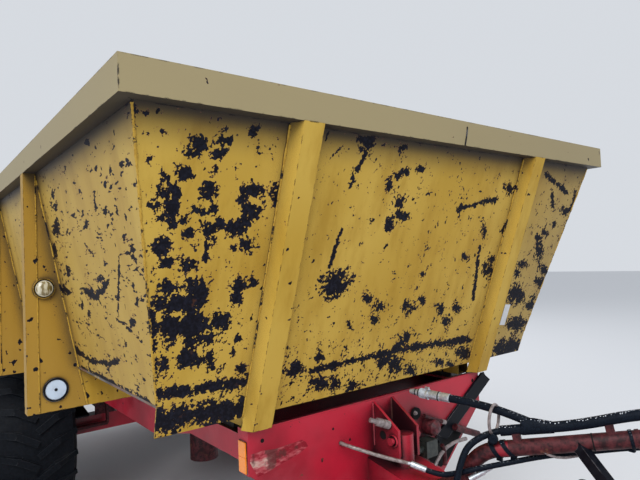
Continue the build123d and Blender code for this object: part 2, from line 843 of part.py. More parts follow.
def wheel(x, side):
    s = tyre_width / 2 - tyre_bead_inset + rim_flange_sheet - bead_gap
    r, t = rim_seat_radius, rim_sheet
    flange = s + rim_flange_sheet
    bore = axle_stub_radius + pin_clearance
    barrel = [(-flange, rim_flange_radius), (-s, rim_flange_radius), (-s, r), (s, r),
              (s, rim_flange_radius), (flange, rim_flange_radius), (flange, r - t), (-flange, r - t)]
    disc = [(disc_offset, r - t), (disc_offset + disc_sheet, r - t), (disc_sheet, disc_radius),
            (disc_sheet, bore), (0, bore), (0, disc_radius)]
    hub = [(hub_inner, bore), (hub_outer - hub_cap, bore), (hub_outer - hub_cap, 0), (hub_outer, 0),
           (hub_outer, hub_radius), (hub_inner, hub_radius)]
    back = drum_outer - drum_sheet
    drum = [(drum_inner, drum_radius), (drum_outer, drum_radius), (drum_outer, hub_radius),
            (back, hub_radius), (back, drum_radius - drum_sheet), (drum_inner, drum_radius - drum_sheet)]
    whole = None
    for points in (barrel, disc, hub, drum):
        placed = ring_about_y([(side * a, q) for a, q in points], x, side * wheel_y, axle_level)
        whole = placed if whole is None else whole + placed
    y = side * (wheel_y - disc_sheet)
    for i in range(hand_hole_count):
        turn = radians(360 * i / hand_hole_count)
        hole_x = x + hand_hole_ring * cos(turn)
        hole_z = axle_level + hand_hole_ring * sin(turn)
        whole -= rod((hole_x, y, hole_z), (hole_x, y + side * tyre_width / 2, hole_z), hand_hole_radius)
    return whole


def axle(x):
    half = axle_section / 2
    reach = wheel_y + drum_inner - axle_beam_gap
    beam = block((x - half, x + half), (-reach, reach), (axle_level - half, axle_level + half))
    tip = wheel_y + stub_reach
    stub = rod((x, -tip, axle_level), (x, tip, axle_level), axle_stub_radius)
    return beam + stub


# Brakes

def brake(x):
    # The chamber stands on the axle and pushes the lever of the camshaft that enters the drum.
    half = axle_section / 2
    top = axle_level + half
    centre = top + chamber_rise
    ys = (chamber_y - chamber_radius, chamber_y + chamber_radius)
    face = x - half + chamber_length
    plate = block((face - chamber_plate, face), ys, (top, centre + chamber_radius))
    chamber = rod((face - chamber_plate - chamber_length, chamber_y, centre),
                  (face - chamber_plate, chamber_y, centre), chamber_radius)
    cam_x = x + lever_reach
    pushrod = rod((face, chamber_y, centre), (cam_x, chamber_y, centre), pushrod_radius)
    lever = block((cam_x - lever_sheet, cam_x + lever_sheet),
                  (chamber_y - lever_sheet / 2, chamber_y + lever_sheet / 2), (axle_level, centre + lever_sheet))
    wheel_end = wheel_y + drum_inner - backplate_inset
    cam = rod((cam_x, chamber_y, axle_level), (cam_x, wheel_end, axle_level), camshaft_radius)
    shield = rod((x, wheel_end - backplate_sheet, axle_level), (x, wheel_end, axle_level), backplate_radius)
    beam = block((x - half, x + half), (0, half_width), (axle_level - half, top))
    return [plate + chamber + pushrod + lever + cam + (shield - beam)]


half_span = axle_spacing / 2
leaf_radius = (half_span ** 2 + leaf_camber ** 2) / (2 * leaf_camber)
leaf_end_level = axle_level + axle_section / 2 + spring_seat
leaf_centre_level = leaf_end_level + leaf_camber - leaf_radius
spring_top = leaf_end_level + leaf_camber + leaf_count * leaf_thickness
bogie_shaft_level = spring_top + bogie_hub_radius
spring_ys = (spring_y - spring_width / 2, spring_y + spring_width / 2)


def leaf(index):
    inner = leaf_radius + index * leaf_thickness
    outer = inner + leaf_thickness
    reach = half_span + leaf_overhang if index == 0 else half_span * (1 - index / (leaf_count + 1))
    angle = reach / leaf_radius

    def point(radius, turn):
        return (bogie_x + radius * sin(turn), spring_ys[0], leaf_centre_level + radius * cos(turn))

    edges = [ThreePointArc(point(inner, -angle), point(inner, 0), point(inner, angle)),
             Line(point(inner, angle), point(outer, angle)),
             ThreePointArc(point(outer, angle), point(outer, 0), point(outer, -angle)),
             Line(point(outer, -angle), point(inner, -angle))]
    return extrude(make_face(Curve() + edges), amount=spring_width, dir=(0, 1, 0))


def leaf_spring():
    whole = leaf(0)
    for index in range(1, leaf_count):
        whole += leaf(index)
    return whole


def spring_seat_block(x):
    low_y, high_y = spring_ys
    under = rod((bogie_x, low_y, leaf_centre_level), (bogie_x, high_y, leaf_centre_level),
                leaf_radius - pin_clearance)
    half = axle_section / 2
    top = axle_level + half
    return block((x - half, x + half), spring_ys, (top, top + 2 * spring_seat)) & under


def bogie_hub():
    def across(level, radius, reach):
        return rod((bogie_x, spring_ys[0] - reach, level), (bogie_x, spring_ys[1] + reach, level), radius)
    hub = across(bogie_shaft_level, bogie_hub_radius, 0)
    saddle = block((bogie_x - bogie_saddle / 2, bogie_x + bogie_saddle / 2), spring_ys,
                   (spring_top - 1, bogie_shaft_level - bogie_saddle_bite))
    over = across(leaf_centre_level, leaf_radius + leaf_count * leaf_thickness, 1)
    bore = across(bogie_shaft_level, bogie_shaft_radius + pin_clearance, 1)
    return hub + saddle - over - bore


def bogie_hangers():
    top = chassis_top - beam_depth
    plates = []
    w, z = hanger_width / 2, bogie_shaft_level
    for low_y in (spring_ys[0] - hanger_sheet - 1, spring_ys[1] + 1):
        ys = (low_y, low_y + hanger_sheet)
        plate = prism_y([(bogie_x - w, top), (bogie_x + w, top), (bogie_x + w / 2, z),
                         (bogie_x - w / 2, z)], *ys)
        plate += rod((bogie_x, ys[0], z), (bogie_x, ys[1], z), bogie_hub_radius)
        plates.append(plate)
    return plates


def bogie_shaft():
    reach = spring_ys[1] + hanger_sheet + bogie_shaft_end
    return rod((bogie_x, -reach, bogie_shaft_level), (bogie_x, reach, bogie_shaft_level), bogie_shaft_radius)


# Tipping ram

def ram_radius(stage):
    return ram_barrel_radius - stage * ram_stage_step


def ram_tube(low, high, stage):
    tube = rod((ram_x, 0, low), (ram_x, 0, high), ram_radius(stage))
    bore = rod((ram_x, 0, low - 1), (ram_x, 0, high - ram_gland), ram_radius(stage) - ram_wall)
    gland = rod((ram_x, 0, low), (ram_x, 0, high + 1), ram_radius(stage + 1) + pin_clearance)
    return tube - bore - gland


def ram_barrel():
    middle, half = ram_trunnion_level, ram_ring_height / 2
    barrel = ram_tube(ram_foot_level, ram_collar_level, 0)
    base = rod((ram_x, 0, ram_foot_level - ram_base_sheet), (ram_x, 0, ram_foot_level), ram_barrel_radius)
    ring = rod((ram_x, 0, middle - half), (ram_x, 0, middle + half), ram_barrel_radius + ram_ring_step)
    ring -= rod((ram_x, 0, middle - half - 1), (ram_x, 0, middle + half + 1), ram_barrel_radius - 1)
    pins = rod((ram_x, -ram_trunnion_reach, middle), (ram_x, ram_trunnion_reach, middle), ram_trunnion_radius)
    pins -= rod((ram_x, 0, ram_foot_level), (ram_x, 0, ram_collar_level), ram_barrel_radius)
    return barrel + base + ring + pins


def ram_stage(stage):
    low = ram_foot_level + (stage + 1) * ram_foot_step
    high = ram_collar_level + stage * ram_collar_step
    if stage < ram_stage_count:
        return ram_tube(low, high, stage)
    head_reach = ram_lug_gap - ram_lug_play
    pin_reach = ram_lug_gap + ram_lug_sheet + ram_pin_end
    body = rod((ram_x, 0, low), (ram_x, 0, high), ram_radius(stage))
    neck = rod((ram_x, 0, high), (ram_x, 0, ram_eye_level), ram_neck_radius)
    head = rod((ram_x, -head_reach, ram_eye_level), (ram_x, head_reach, ram_eye_level), ram_head_radius)
    pin = rod((ram_x, -pin_reach, ram_eye_level), (ram_x, pin_reach, ram_eye_level), ram_pin_radius)
    return body + neck + head + pin


def ram_cradle(side):
    low, high = ram_trunnion_level - ram_cradle_drop, chassis_top - beam_sheet
    ys = sorted((side * ram_cradle_gap, side * (ram_cradle_gap + ram_cradle_sheet)))
    reach = ram_bay - cross_tube / 2
    plate = block((ram_x - reach, ram_x + reach), ys, (low, high))
    return plate - rod((ram_x, ys[0] - 1, ram_trunnion_level), (ram_x, ys[1] + 1, ram_trunnion_level),
                       ram_trunnion_radius + pin_clearance)


# Lamps

def marker_ring_part():
    face = rib_first_x
    outer = marker_radius + marker_ring
    ring = rod((face, marker_y, marker_level), (face + marker_depth / 2, marker_y, marker_level), outer)
    return ring - rod((face, marker_y, marker_level), (face + marker_depth, marker_y, marker_level),
                      marker_radius + pin_clearance)


def marker_lamp():
    face, r, d = rib_first_x, marker_radius, marker_depth
    points = [(0, 0), (0, r), (d / 2, r), (d * 0.8, r * 0.8), (d, r / 2), (d, 0)]
    turned = revolve(make_face(Polyline(*[(x, 0, z) for x, z in points], close=True)), Axis.X)
    return Pos(face, marker_y, marker_level) * turned


def front_reflector():
    face, r, d = rib_first_x - rib_step, reflector_radius, reflector_depth
    points = [(0, 0), (0, r), (d, r), (d, r * 0.8), (d * 0.7, r * 0.78), (d * 0.7, 0)]
    turned = revolve(make_face(Polyline(*[(x, 0, z) for x, z in points], close=True)), Axis.X)
    return Pos(face, reflector_y, reflector_level) * turned


def side_reflector():
    low = plate_top - bolster_side_depth + lamp_inset / 10
    middle = bolster_x - bolster_return / 2
    y = bolster_half_width + bolster_return_sheet
    return block((middle - side_reflector_width / 2, middle + side_reflector_width / 2),
                 (y, y + side_reflector_depth), (low, low + side_reflector_height))


def lamp_bar():
    low, high = lamp_bar_level - lamp_bar_height / 2, lamp_bar_level + lamp_bar_height / 2
    rear, front, w = lamp_bar_x - lamp_bar_depth / 2, lamp_bar_x + lamp_bar_depth / 2, lamp_bar_wall
    bar = block((rear, front), (-lamp_bar_half_width, lamp_bar_half_width), (low, high))
    bar -= block((rear + w, front + 1), (-lamp_bar_half_width - 1, lamp_bar_half_width + 1),
                 (low + w, high - w))
    under = chassis_top - beam_depth
    for side in sides.values():
        ys = sorted((side * (beam_outer - beam_sheet), side * (beam_outer - 3 * beam_sheet)))
        bar += prism_y([(hinge_x + lamp_bar_height, under), (hinge_x, under), (front, high),
                        (front - w, high - w / 2), (rear + w / 2, high - w / 2), (rear + w / 2, low + w / 2),
                        (front, low + w / 2), (hinge_x + lamp_bar_height, under - lamp_bar_height / 2)], *ys)
    return bar


def tail_lamp():
    rear = lamp_bar_x - lamp_bar_depth / 2
    outer = lamp_bar_half_width - lamp_inset
    lamp = block((rear - lamp_depth, rear), (outer - lamp_width, outer),
                 (lamp_bar_level - lamp_height / 2, lamp_bar_level + lamp_height / 2))
    return fillet(lamp.faces().sort_by(Axis.X)[0].edges(), lamp_depth / 4)


# Valves and stay on the bolster

def valve_block():
    half = valve_side / 2
    body = block((bolster_x, bolster_x + valve_depth), (valve_y - half, valve_y + half),
                 (valve_level - half, valve_level + half))
    spool = rod((bolster_x + valve_depth / 2, valve_y - valve_side, valve_level),
                (bolster_x + valve_depth / 2, valve_y, valve_level), valve_side / 5)
    return body + spool


def accumulator():
    r, reach = accumulator_radius, accumulator_reach
    points = [(0, 0), (0, r), (reach, r), (reach + r * 0.5, r * 0.87), (reach + r * 0.87, r * 0.5),
              (reach + r, 0)]
    turned = revolve(make_face(Polyline(*[(x, 0, z) for x, z in points], close=True)), Axis.X)
    return Pos(bolster_x, accumulator_y, accumulator_level) * turned


def stay_bar():
    across = Vector(0, stay_outer[0] - stay_inner[0], stay_outer[1] - stay_inner[1]).normalized()
    up = Vector(0, -across.Z, across.Y) * (stay_width / 2)
    corners = []
    for end, hand in ((stay_outer, 1), (stay_outer, -1), (stay_inner, -1), (stay_inner, 1)):
        corners.append((end[0] + hand * up.Y, end[1] + hand * up.Z))
    return prism_x(corners, bolster_x, bolster_x + stay_sheet)


def arm_prop():
    start, end = Vector(*prop_foot), Vector(*prop_head)
    plane = Plane(origin=start, z_dir=end - start)
    bar = extrude(plane * Rectangle(prop_side, prop_side), amount=(end - start).length)
    return bar - drawbar() - arm_tube()


# Hose arm and hoses

def bent_line(points, radii):
    return FilletPolyline(*points, radius=radii)


def tube_along(line, radius):
    return sweep(Plane(origin=line @ 0, z_dir=line % 0) * Circle(radius), path=line)


def arm_tube():
    return tube_along(bent_line(arm_points, arm_bends), arm_radius)


def arm_frame(share):
    # A plane across the long run of the arm, and the point at that share of it.
    start, end = Vector(*arm_points[3]), Vector(*arm_points[4])
    first = Vector(*arm_points[2])
    origin = first + (start - first) * (2 * share) if share < 0.5 else start + (end - start) * (2 * share - 1)
    return origin, (start - first).normalized() if share < 0.5 else (end - start).normalized()


def hose_arm():
    x, y = arm_points[0][0], arm_points[0][1]
    half = arm_foot / 2
    back = drawbar_levels(x - half)[1]
    front = drawbar_levels(x + half)[1]
    foot = girder(x - half, (y - half, y + half / 2), (back, back + arm_foot_sheet),
                  x + half, (y - half, y + half / 2), (front, front + arm_foot_sheet))
    tip, ahead = arm_frame(1)
    plane = Plane(origin=tip, x_dir=Vector(-ahead.Y, ahead.X, 0), z_dir=ahead)
    plate = plane * Pos(0, arm_plate / 3) * Rectangle(arm_plate, arm_plate_height)
    whole = (arm_tube() - drawbar()) + foot + extrude(plate, amount=arm_plate_sheet)
    for share in saddle_shares:
        whole += saddle(share)
    return whole


def saddle(share):
    middle, ahead = arm_frame(share)
    plane = Plane(origin=middle - ahead * (saddle_width / 2), x_dir=Vector(-ahead.Y, ahead.X, 0), z_dir=ahead)
    post = extrude(plane * Pos(0, arm_plate / 4) * Rectangle(arm_radius, arm_plate / 2), amount=saddle_width)
    return post - sleeve_cut()


def sleeve_cut():
    run = [Vector(*point) for point in sleeve_points]
    line = bent_line(run, bend_radii(sleeve_points))
    over = Plane(origin=line @ 0, z_dir=line % 0) * Circle(sleeve_diameter / 2)
    tall = sweep(over, path=line)
    return tall + Pos(0, 0, sleeve_diameter) * tall + Pos(0, 0, 2 * sleeve_diameter) * tall


def bend_radii(points):
    run = [Vector(*point) for point in points]
    radii = []
    for before, corner, after in zip(run, run[1:], run[2:]):
        turn = radians((corner - before).get_angle(after - corner))
        shorter = min((corner - before).length, (after - corner).length)
        radii.append(bend_share * shorter / tan(turn / 2))
    return radii


def hose(name, points, diameter):
    radii = bend_radii(points)
    line = bent_line(points, radii)
    print(name, "length", round(line.length), "bend radii", [round(r) for r in radii])
    return tube_along(line, diameter / 2)


def feed_coupler():
    start = Vector(*feed_points[-1])
    along = (start - Vector(*feed_points[-2])).normalized()
    steps = []
    # length, radius
    for length, radius in ((52, 19), (8, 23), (34, 20), (10, 16), (26, 13), (12, 10)):
        end = start + along * length
        steps.append(rod((start.X, start.Y, start.Z), (end.X, end.Y, end.Z), radius))
        start = end
    return steps[0].fuse(*steps[1:])


def hose_fittings():
    pipe = hose("steel pipe", pipe_points, pipe_diameter)
    ferrule = rod(pipe_points[-1], return_points[0], return_diameter * ferrule_share)
    wall = block((bolster_x - bolster_sheet, bolster_x), (-half_width, half_width), (0, plate_top))
    return [pipe - wall + ferrule, feed_coupler()]


def build():
    os.makedirs("parts", exist_ok=True)
    write("skip_front_wall", front_wall())
    write("skip_floor", floor())
    write("skip_front_rail", front_rail())
    write("skip_front_ribs", front_rib(), mirrored(front_rib()))
    for name, side in sides.items():
        turn = (lambda shape: shape) if side > 0 else mirrored
        write(f"skip_side_wall_{name}", turn(side_wall()))
        write(f"skip_side_rail_{name}", turn(side_rail()))
        ribs = [side_rib(x) for x in ribs_x]
        ribs[0] += marker_ring_part()
        write(f"skip_side_ribs_{name}", *[turn(rib) for rib in ribs])
        write(f"chassis_beam_{name}", turn(main_beam()))
        for x, axle_name in zip(axles_x, axle_names):
            write(f"tyre_{axle_name}_{name}", tyre(x, side))
            write(f"wheel_{axle_name}_{name}", wheel(x, side))
    write("skip_bed_beams", bed_beam(), mirrored(bed_beam()))
    bearers = [piece for x in ribs_x for piece in cross_bearer(x).solids()]
    write("skip_cross_bearers", *bearers)
    write("skip_rear_frame", rear_frame())
    lugs = [hinge_lug(beam_y + k * (beam_width / 2 + hinge_lug_sheet / 2 + 1)) for k in (-1, 1)]
    write("skip_hinge_lugs", *lugs, *[mirrored(piece) for piece in lugs])
    write("skip_ram_lugs", ram_lug(1), ram_lug(-1))
    pivot = [*gate_brackets(), gate_pin()]
    write("gate_brackets", *pivot, *[mirrored(piece) for piece in pivot])
    write("tailgate_panel", gate_panel() + gate_bars())
    write("tailgate_arms", gate_arm(), mirrored(gate_arm()))
    write("chassis_cross_members", *cross_members())
    write("hinge_pins", hinge_pin(), mirrored(hinge_pin()))
    pads = [rest_pad(x) for x in pads_x]
    write("rest_pads", *pads, *[mirrored(pad) for pad in pads])
    write("chassis_bolster", bolster() + ear(ear_y) + ear(-ear_y))
    write("drawbar", drawbar_box())
    write("drawbar_strut", strut())
    write("towing_eye", towing_eye())
    write("jack_sleeve", jack_sleeve_part())
    write("jack_leg", jack_leg_part() + jack_foot_part())
    bogie = bogie_shaft()
    for plate in bogie_hangers():
        bogie += plate + mirrored(plate)
    write("bogie_shaft", bogie)
    spring = leaf_spring() + bogie_hub()
    write("leaf_springs", spring, mirrored(spring))
    brakes = []
    for x, axle_name in zip(axles_x, axle_names):
        seat = spring_seat_block(x)
        write(f"axle_{axle_name}", axle(x) + seat + mirrored(seat))
        brakes += brake(x) + [mirrored(piece) for piece in brake(x)]
    write("brake_chambers", *brakes)
    write("ram_barrel", ram_barrel())
    for stage in range(1, ram_stage_count + 1):
        write(f"ram_stage_{stage}", ram_stage(stage))
    write("ram_cradle", ram_cradle(1), ram_cradle(-1))
    front = [marker_lamp(), front_reflector()]
    write("front_lamps", *front, *[mirrored(piece) for piece in front])
    rear = [tail_lamp(), side_reflector()]
    write("road_lamps", *rear, *[mirrored(piece) for piece in rear])
    write("lamp_bar", lamp_bar())
    write("valve_unit", valve_block(), accumulator())
    write("black_stays", stay_bar(), arm_prop())
    write("hose_arm", hose_arm())
    sleeve = hose("sleeve", sleeve_points, sleeve_diameter)
    write("hose_sleeve", sleeve)
    write("hose_feed", hose("feed hose", feed_points, feed_diameter) - sleeve)
    write("hose_loop", hose("loop hose", loop_points, loop_diameter) - drawbar())
    write("hose_return", hose("return hose", return_points, return_diameter))
    write("hose_fittings", *hose_fittings())


build()
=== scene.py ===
import bmesh
import bpy
import math
import numpy as np
from mathutils import Matrix, Vector, noise


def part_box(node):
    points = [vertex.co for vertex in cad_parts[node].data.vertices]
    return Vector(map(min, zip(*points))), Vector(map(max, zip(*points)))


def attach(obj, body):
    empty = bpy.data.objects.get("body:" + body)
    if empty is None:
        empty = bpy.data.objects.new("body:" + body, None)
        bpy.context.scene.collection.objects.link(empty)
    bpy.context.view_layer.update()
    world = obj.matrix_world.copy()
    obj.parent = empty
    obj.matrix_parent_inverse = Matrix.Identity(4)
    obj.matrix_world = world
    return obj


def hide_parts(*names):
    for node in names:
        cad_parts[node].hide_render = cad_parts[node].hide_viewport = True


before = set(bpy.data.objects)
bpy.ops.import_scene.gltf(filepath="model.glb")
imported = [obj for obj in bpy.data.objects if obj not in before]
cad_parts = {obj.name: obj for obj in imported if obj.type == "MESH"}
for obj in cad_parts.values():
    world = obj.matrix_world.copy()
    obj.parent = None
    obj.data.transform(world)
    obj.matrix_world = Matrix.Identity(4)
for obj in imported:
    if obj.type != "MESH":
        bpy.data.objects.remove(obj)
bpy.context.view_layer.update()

# Places below are in metres in the trailer's own frame: x forward from the rim's front face,
# y to the left, z up from the ground. at() gives the same place in the row frame.
RIM_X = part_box("skip_front_rail")[1].x
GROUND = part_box("jack_leg")[0].z


def at(x, y, z):
    return Vector((x + RIM_X, y, z + GROUND))


# Camera, fitted to the photograph. The photograph's frame is 640 by 480 pixels.
PHOTO_WIDTH = 640
PHOTO_HEIGHT = 480
SENSOR = 36.0
CAMERA_PLACE = at(1.326, -1.699, 1.766)
CAMERA_YAW = math.radians(37.97)
CAMERA_PITCH = math.radians(2.05)
CAMERA_ROLL = math.radians(-2.31)
FOCAL_PIXELS = 536.58

# Routes of the hoses, from their exits on
SLEEVE_POINTS = [(0.060, 0.148, 1.064), (0.140, 0.190, 1.080), (0.310, 0.275, 1.112),
                 (0.487, 0.366, 1.172), (0.678, 0.457, 1.198), (0.849, 0.535, 1.224)]
FEED_POINTS = [(0.162, 0.203, 1.105), (0.068, 0.176, 1.133), (-0.035, 0.156, 1.146),
               (-0.122, 0.135, 1.154), (-0.206, 0.114, 1.158)]
LOOP_POINTS = [(0.064, 0.149, 1.066), (-0.020, 0.070, 1.040), (-0.044, 0.004, 0.920),
               (-0.050, -0.014, 0.822)]
RETURN_POINTS = [(-0.177, -0.028, 0.894), (-0.132, 0.0017, 0.8769), (-0.075, 0.028, 0.893),
                 (-0.015, 0.046, 0.918), (0.060, 0.125, 0.939), (0.186, 0.247, 0.976),
                 (0.325, 0.322, 1.008), (0.469, 0.394, 1.044), (0.650, 0.478, 1.064),
                 (0.828, 0.556, 1.097)]

# Walls of the skip, from the part
WALL_SHEET = 0.008
RIM_BOTTOM = 2.200
FLOOR_LEVEL = 1.316
FOOT_LEVEL = 1.202
FRONT_TOP_X = -0.050
FRONT_FOOT_X = -0.418
FOOT_HALF = 1.055
FLOOR_HALF = 1.060
TOP_HALF = 1.225
FRONT_SLOPE = (FRONT_TOP_X - FRONT_FOOT_X) / (RIM_BOTTOM - FOOT_LEVEL)
SIDE_SLOPE = (TOP_HALF - FLOOR_HALF) / (RIM_BOTTOM - FLOOR_LEVEL)
SKIP_REAR = -5.200


def front_x(z):
    return FRONT_TOP_X - FRONT_SLOPE * (RIM_BOTTOM - z)


def side_y(z):
    return TOP_HALF - SIDE_SLOPE * (RIM_BOTTOM - z)


def camera_axes():
    ahead = Vector((-math.cos(CAMERA_YAW) * math.cos(CAMERA_PITCH),
                    math.sin(CAMERA_YAW) * math.cos(CAMERA_PITCH), math.sin(CAMERA_PITCH)))
    level = ahead.cross(Vector((0, 0, 1))).normalized()
    rise = level.cross(ahead)
    c, s = math.cos(CAMERA_ROLL), math.sin(CAMERA_ROLL)
    return c * level + s * rise, c * rise - s * level, ahead


def make_camera():
    right, up, ahead = camera_axes()
    data = bpy.data.cameras.new("camera")
    data.sensor_width = SENSOR
    data.lens = FOCAL_PIXELS * SENSOR / PHOTO_WIDTH
    data.clip_end = 200
    camera = bpy.data.objects.new("camera", data)
    turn = Matrix((right, up, -ahead)).transposed().to_4x4()
    camera.matrix_world = Matrix.Translation(CAMERA_PLACE) @ turn
    bpy.context.scene.collection.objects.link(camera)
    bpy.context.scene.camera = camera


def ray(pixel):
    right, up, ahead = camera_axes()
    u, v = pixel
    across = (u - PHOTO_WIDTH / 2) / FOCAL_PIXELS
    down = (v - PHOTO_HEIGHT / 2) / FOCAL_PIXELS
    return ahead + across * right - down * up


def in_plane(pixel, point, normal):
    """A place in the trailer's own frame where a pixel of the photograph meets a plane there."""
    point, normal = at(*point), Vector(normal)
    aim = ray(pixel)
    return CAMERA_PLACE + aim * ((point - CAMERA_PLACE).dot(normal) / aim.dot(normal)) - at(0, 0, 0)


make_camera()


# Materials

class Nodes:
    """A material's node tree, with short calls that link nodes as they are made."""

    def __init__(self, name):
        self.material = bpy.data.materials.new(name)
        self.material.use_nodes = True
        self.tree = self.material.node_tree
        self.shader = self.tree.nodes["Principled BSDF"]
        self.place = self.add("TexCoord", "Object")

    def put(self, socket, value):
        if isinstance(value, bpy.types.NodeSocket):
            self.tree.links.new(value, socket)
        elif isinstance(value, tuple) and len(value) == 3 and len(socket.default_value) == 4:
            socket.default_value = (*value, 1.0)
        else:
            socket.default_value = value

    def add(self, kind, output, inputs=(), **settings):
        """One output of a new node, with its inputs given by name or by number."""
        node = self.tree.nodes.new("ShaderNode" + kind)
        for key, value in settings.items():
            setattr(node, key, value)
        for key, value in dict(inputs).items():
            self.put(node.inputs[key], value)
        return node.outputs[output]

    def noise(self, scale, detail=4.0, rough=0.55, place=None):
        grain = {"Vector": place or self.place, "Scale": scale, "Detail": detail, "Roughness": rough}
        return self.add("TexNoise", "Fac", grain)

    def stretched(self, x, y, z):
        return self.add("VectorMath", 0, {0: self.place, 1: (x, y, z)}, operation="MULTIPLY")

    def math(self, operation, a, b):
        return self.add("Math", 0, {0: a, 1: b}, operation=operation)

    def both(self, a, b):
        """The higher of two shares."""
        return self.math("MAXIMUM", a, b)

    def times(self, a, b):
        return self.math("MULTIPLY", a, b)

    def swayed(self, value, field, gain):
        """A value that a noise field pushes up and down."""
        return self.math("ADD", value, self.times(self.math("SUBTRACT", field, 0.5), gain))

    def steps(self, value, low, high, first=0.0, last=1.0):
        levels = {"Value": value, "From Min": low, "From Max": high, "To Min": first, "To Max": last}
        return self.add("MapRange", "Result", levels, interpolation_type="SMOOTHSTEP")

    def mix(self, share, a, b):
        return self.add("Mix", 2, {0: share, 6: a, 7: b}, data_type="RGBA")

    def blend(self, field, low, high, a, b):
        """Colour a where the field is low, and b where it is high."""
        return self.mix(self.steps(field, low, high), a, b)

    def tint(self, body, colour, share, field, low, high):
        """The body's colour with up to a share of another one where the field is high."""
        return self.mix(self.steps(field, low, high, 0.0, share), body, colour)

    def attribute(self, name):
        return self.add("Attribute", "Fac", attribute_name=name)

    def axis(self, name):
        return self.add("SeparateXYZ", name, {0: self.place})

    def rise(self, low, high, first=0.0, last=1.0):
        """From first to last between two heights above the ground."""
        return self.steps(self.axis("Z"), at(0, 0, low).z, at(0, 0, high).z, first, last)

    def facing(self, name):
        """How far the surface faces along an axis of the world, from -1 to 1."""
        return self.add("SeparateXYZ", name, {0: self.add("NewGeometry", "True Normal")})

    def edges(self, reach):
        """1 near the piece's sharp edges and 0 on its faces."""
        round_normal = self.add("Bevel", 0, {"Radius": reach}, samples=4)
        normals = {0: round_normal, 1: self.add("NewGeometry", "True Normal")}
        return self.steps(self.add("VectorMath", "Value", normals, operation="DOT_PRODUCT"), 0.995, 0.90)

    def corners(self, reach):
        """0 on open faces and 1 in inner corners."""
        return self.steps(self.add("AmbientOcclusion", "AO", {"Distance": reach}, samples=6), 0.9, 0.3)

    def bump(self, height, strength, distance):
        return self.add("Bump", "Normal", {"Height": height, "Strength": strength, "Distance": distance})

    def finish(self, colour, rough, metal=None, normal=None, specular=None, coat=None):
        values = {"Base Color": colour, "Roughness": rough, "Metallic": metal, "Normal": normal,
                  "Specular IOR Level": specular, "Coat Weight": coat,
                  "Coat Roughness": coat and COAT_ROUGHNESS}
        for key, value in values.items():
            if value is not None:
                self.put(self.shader.inputs[key], value)
        return self.material


COAT_ROUGHNESS = 0.25

# Linear colours
OCHRE = (0.522, 0.322, 0.044)
OCHRE_LIGHT = (0.604, 0.396, 0.072)
OCHRE_DEEP = (0.360, 0.195, 0.016)
OCHRE_DUSTY = (0.262, 0.232, 0.152)
OCHRE_SHADE = (0.060, 0.045, 0.030)
BARE_DARK = (0.004, 0.004, 0.008)
BARE_BLUE = (0.012, 0.013, 0.024)
RUST = (0.120, 0.045, 0.020)
RUST_PALE = (0.250, 0.110, 0.060)
CRIMSON = (0.500, 0.010, 0.032)
CRIMSON_DEEP = (0.240, 0.004, 0.014)
CRIMSON_DUSTY = (0.460, 0.040, 0.066)
# Painted shade in the wheel's inner corners
WHEEL_CORNER_SHADE = (0.060, 0.050, 0.040)
RED_SHADE = (0.005, 0.002, 0.004)
# Painted shade under the rim and on faces that look down
OCHRE_UNDER_SHADE = (0.020, 0.021, 0.027)


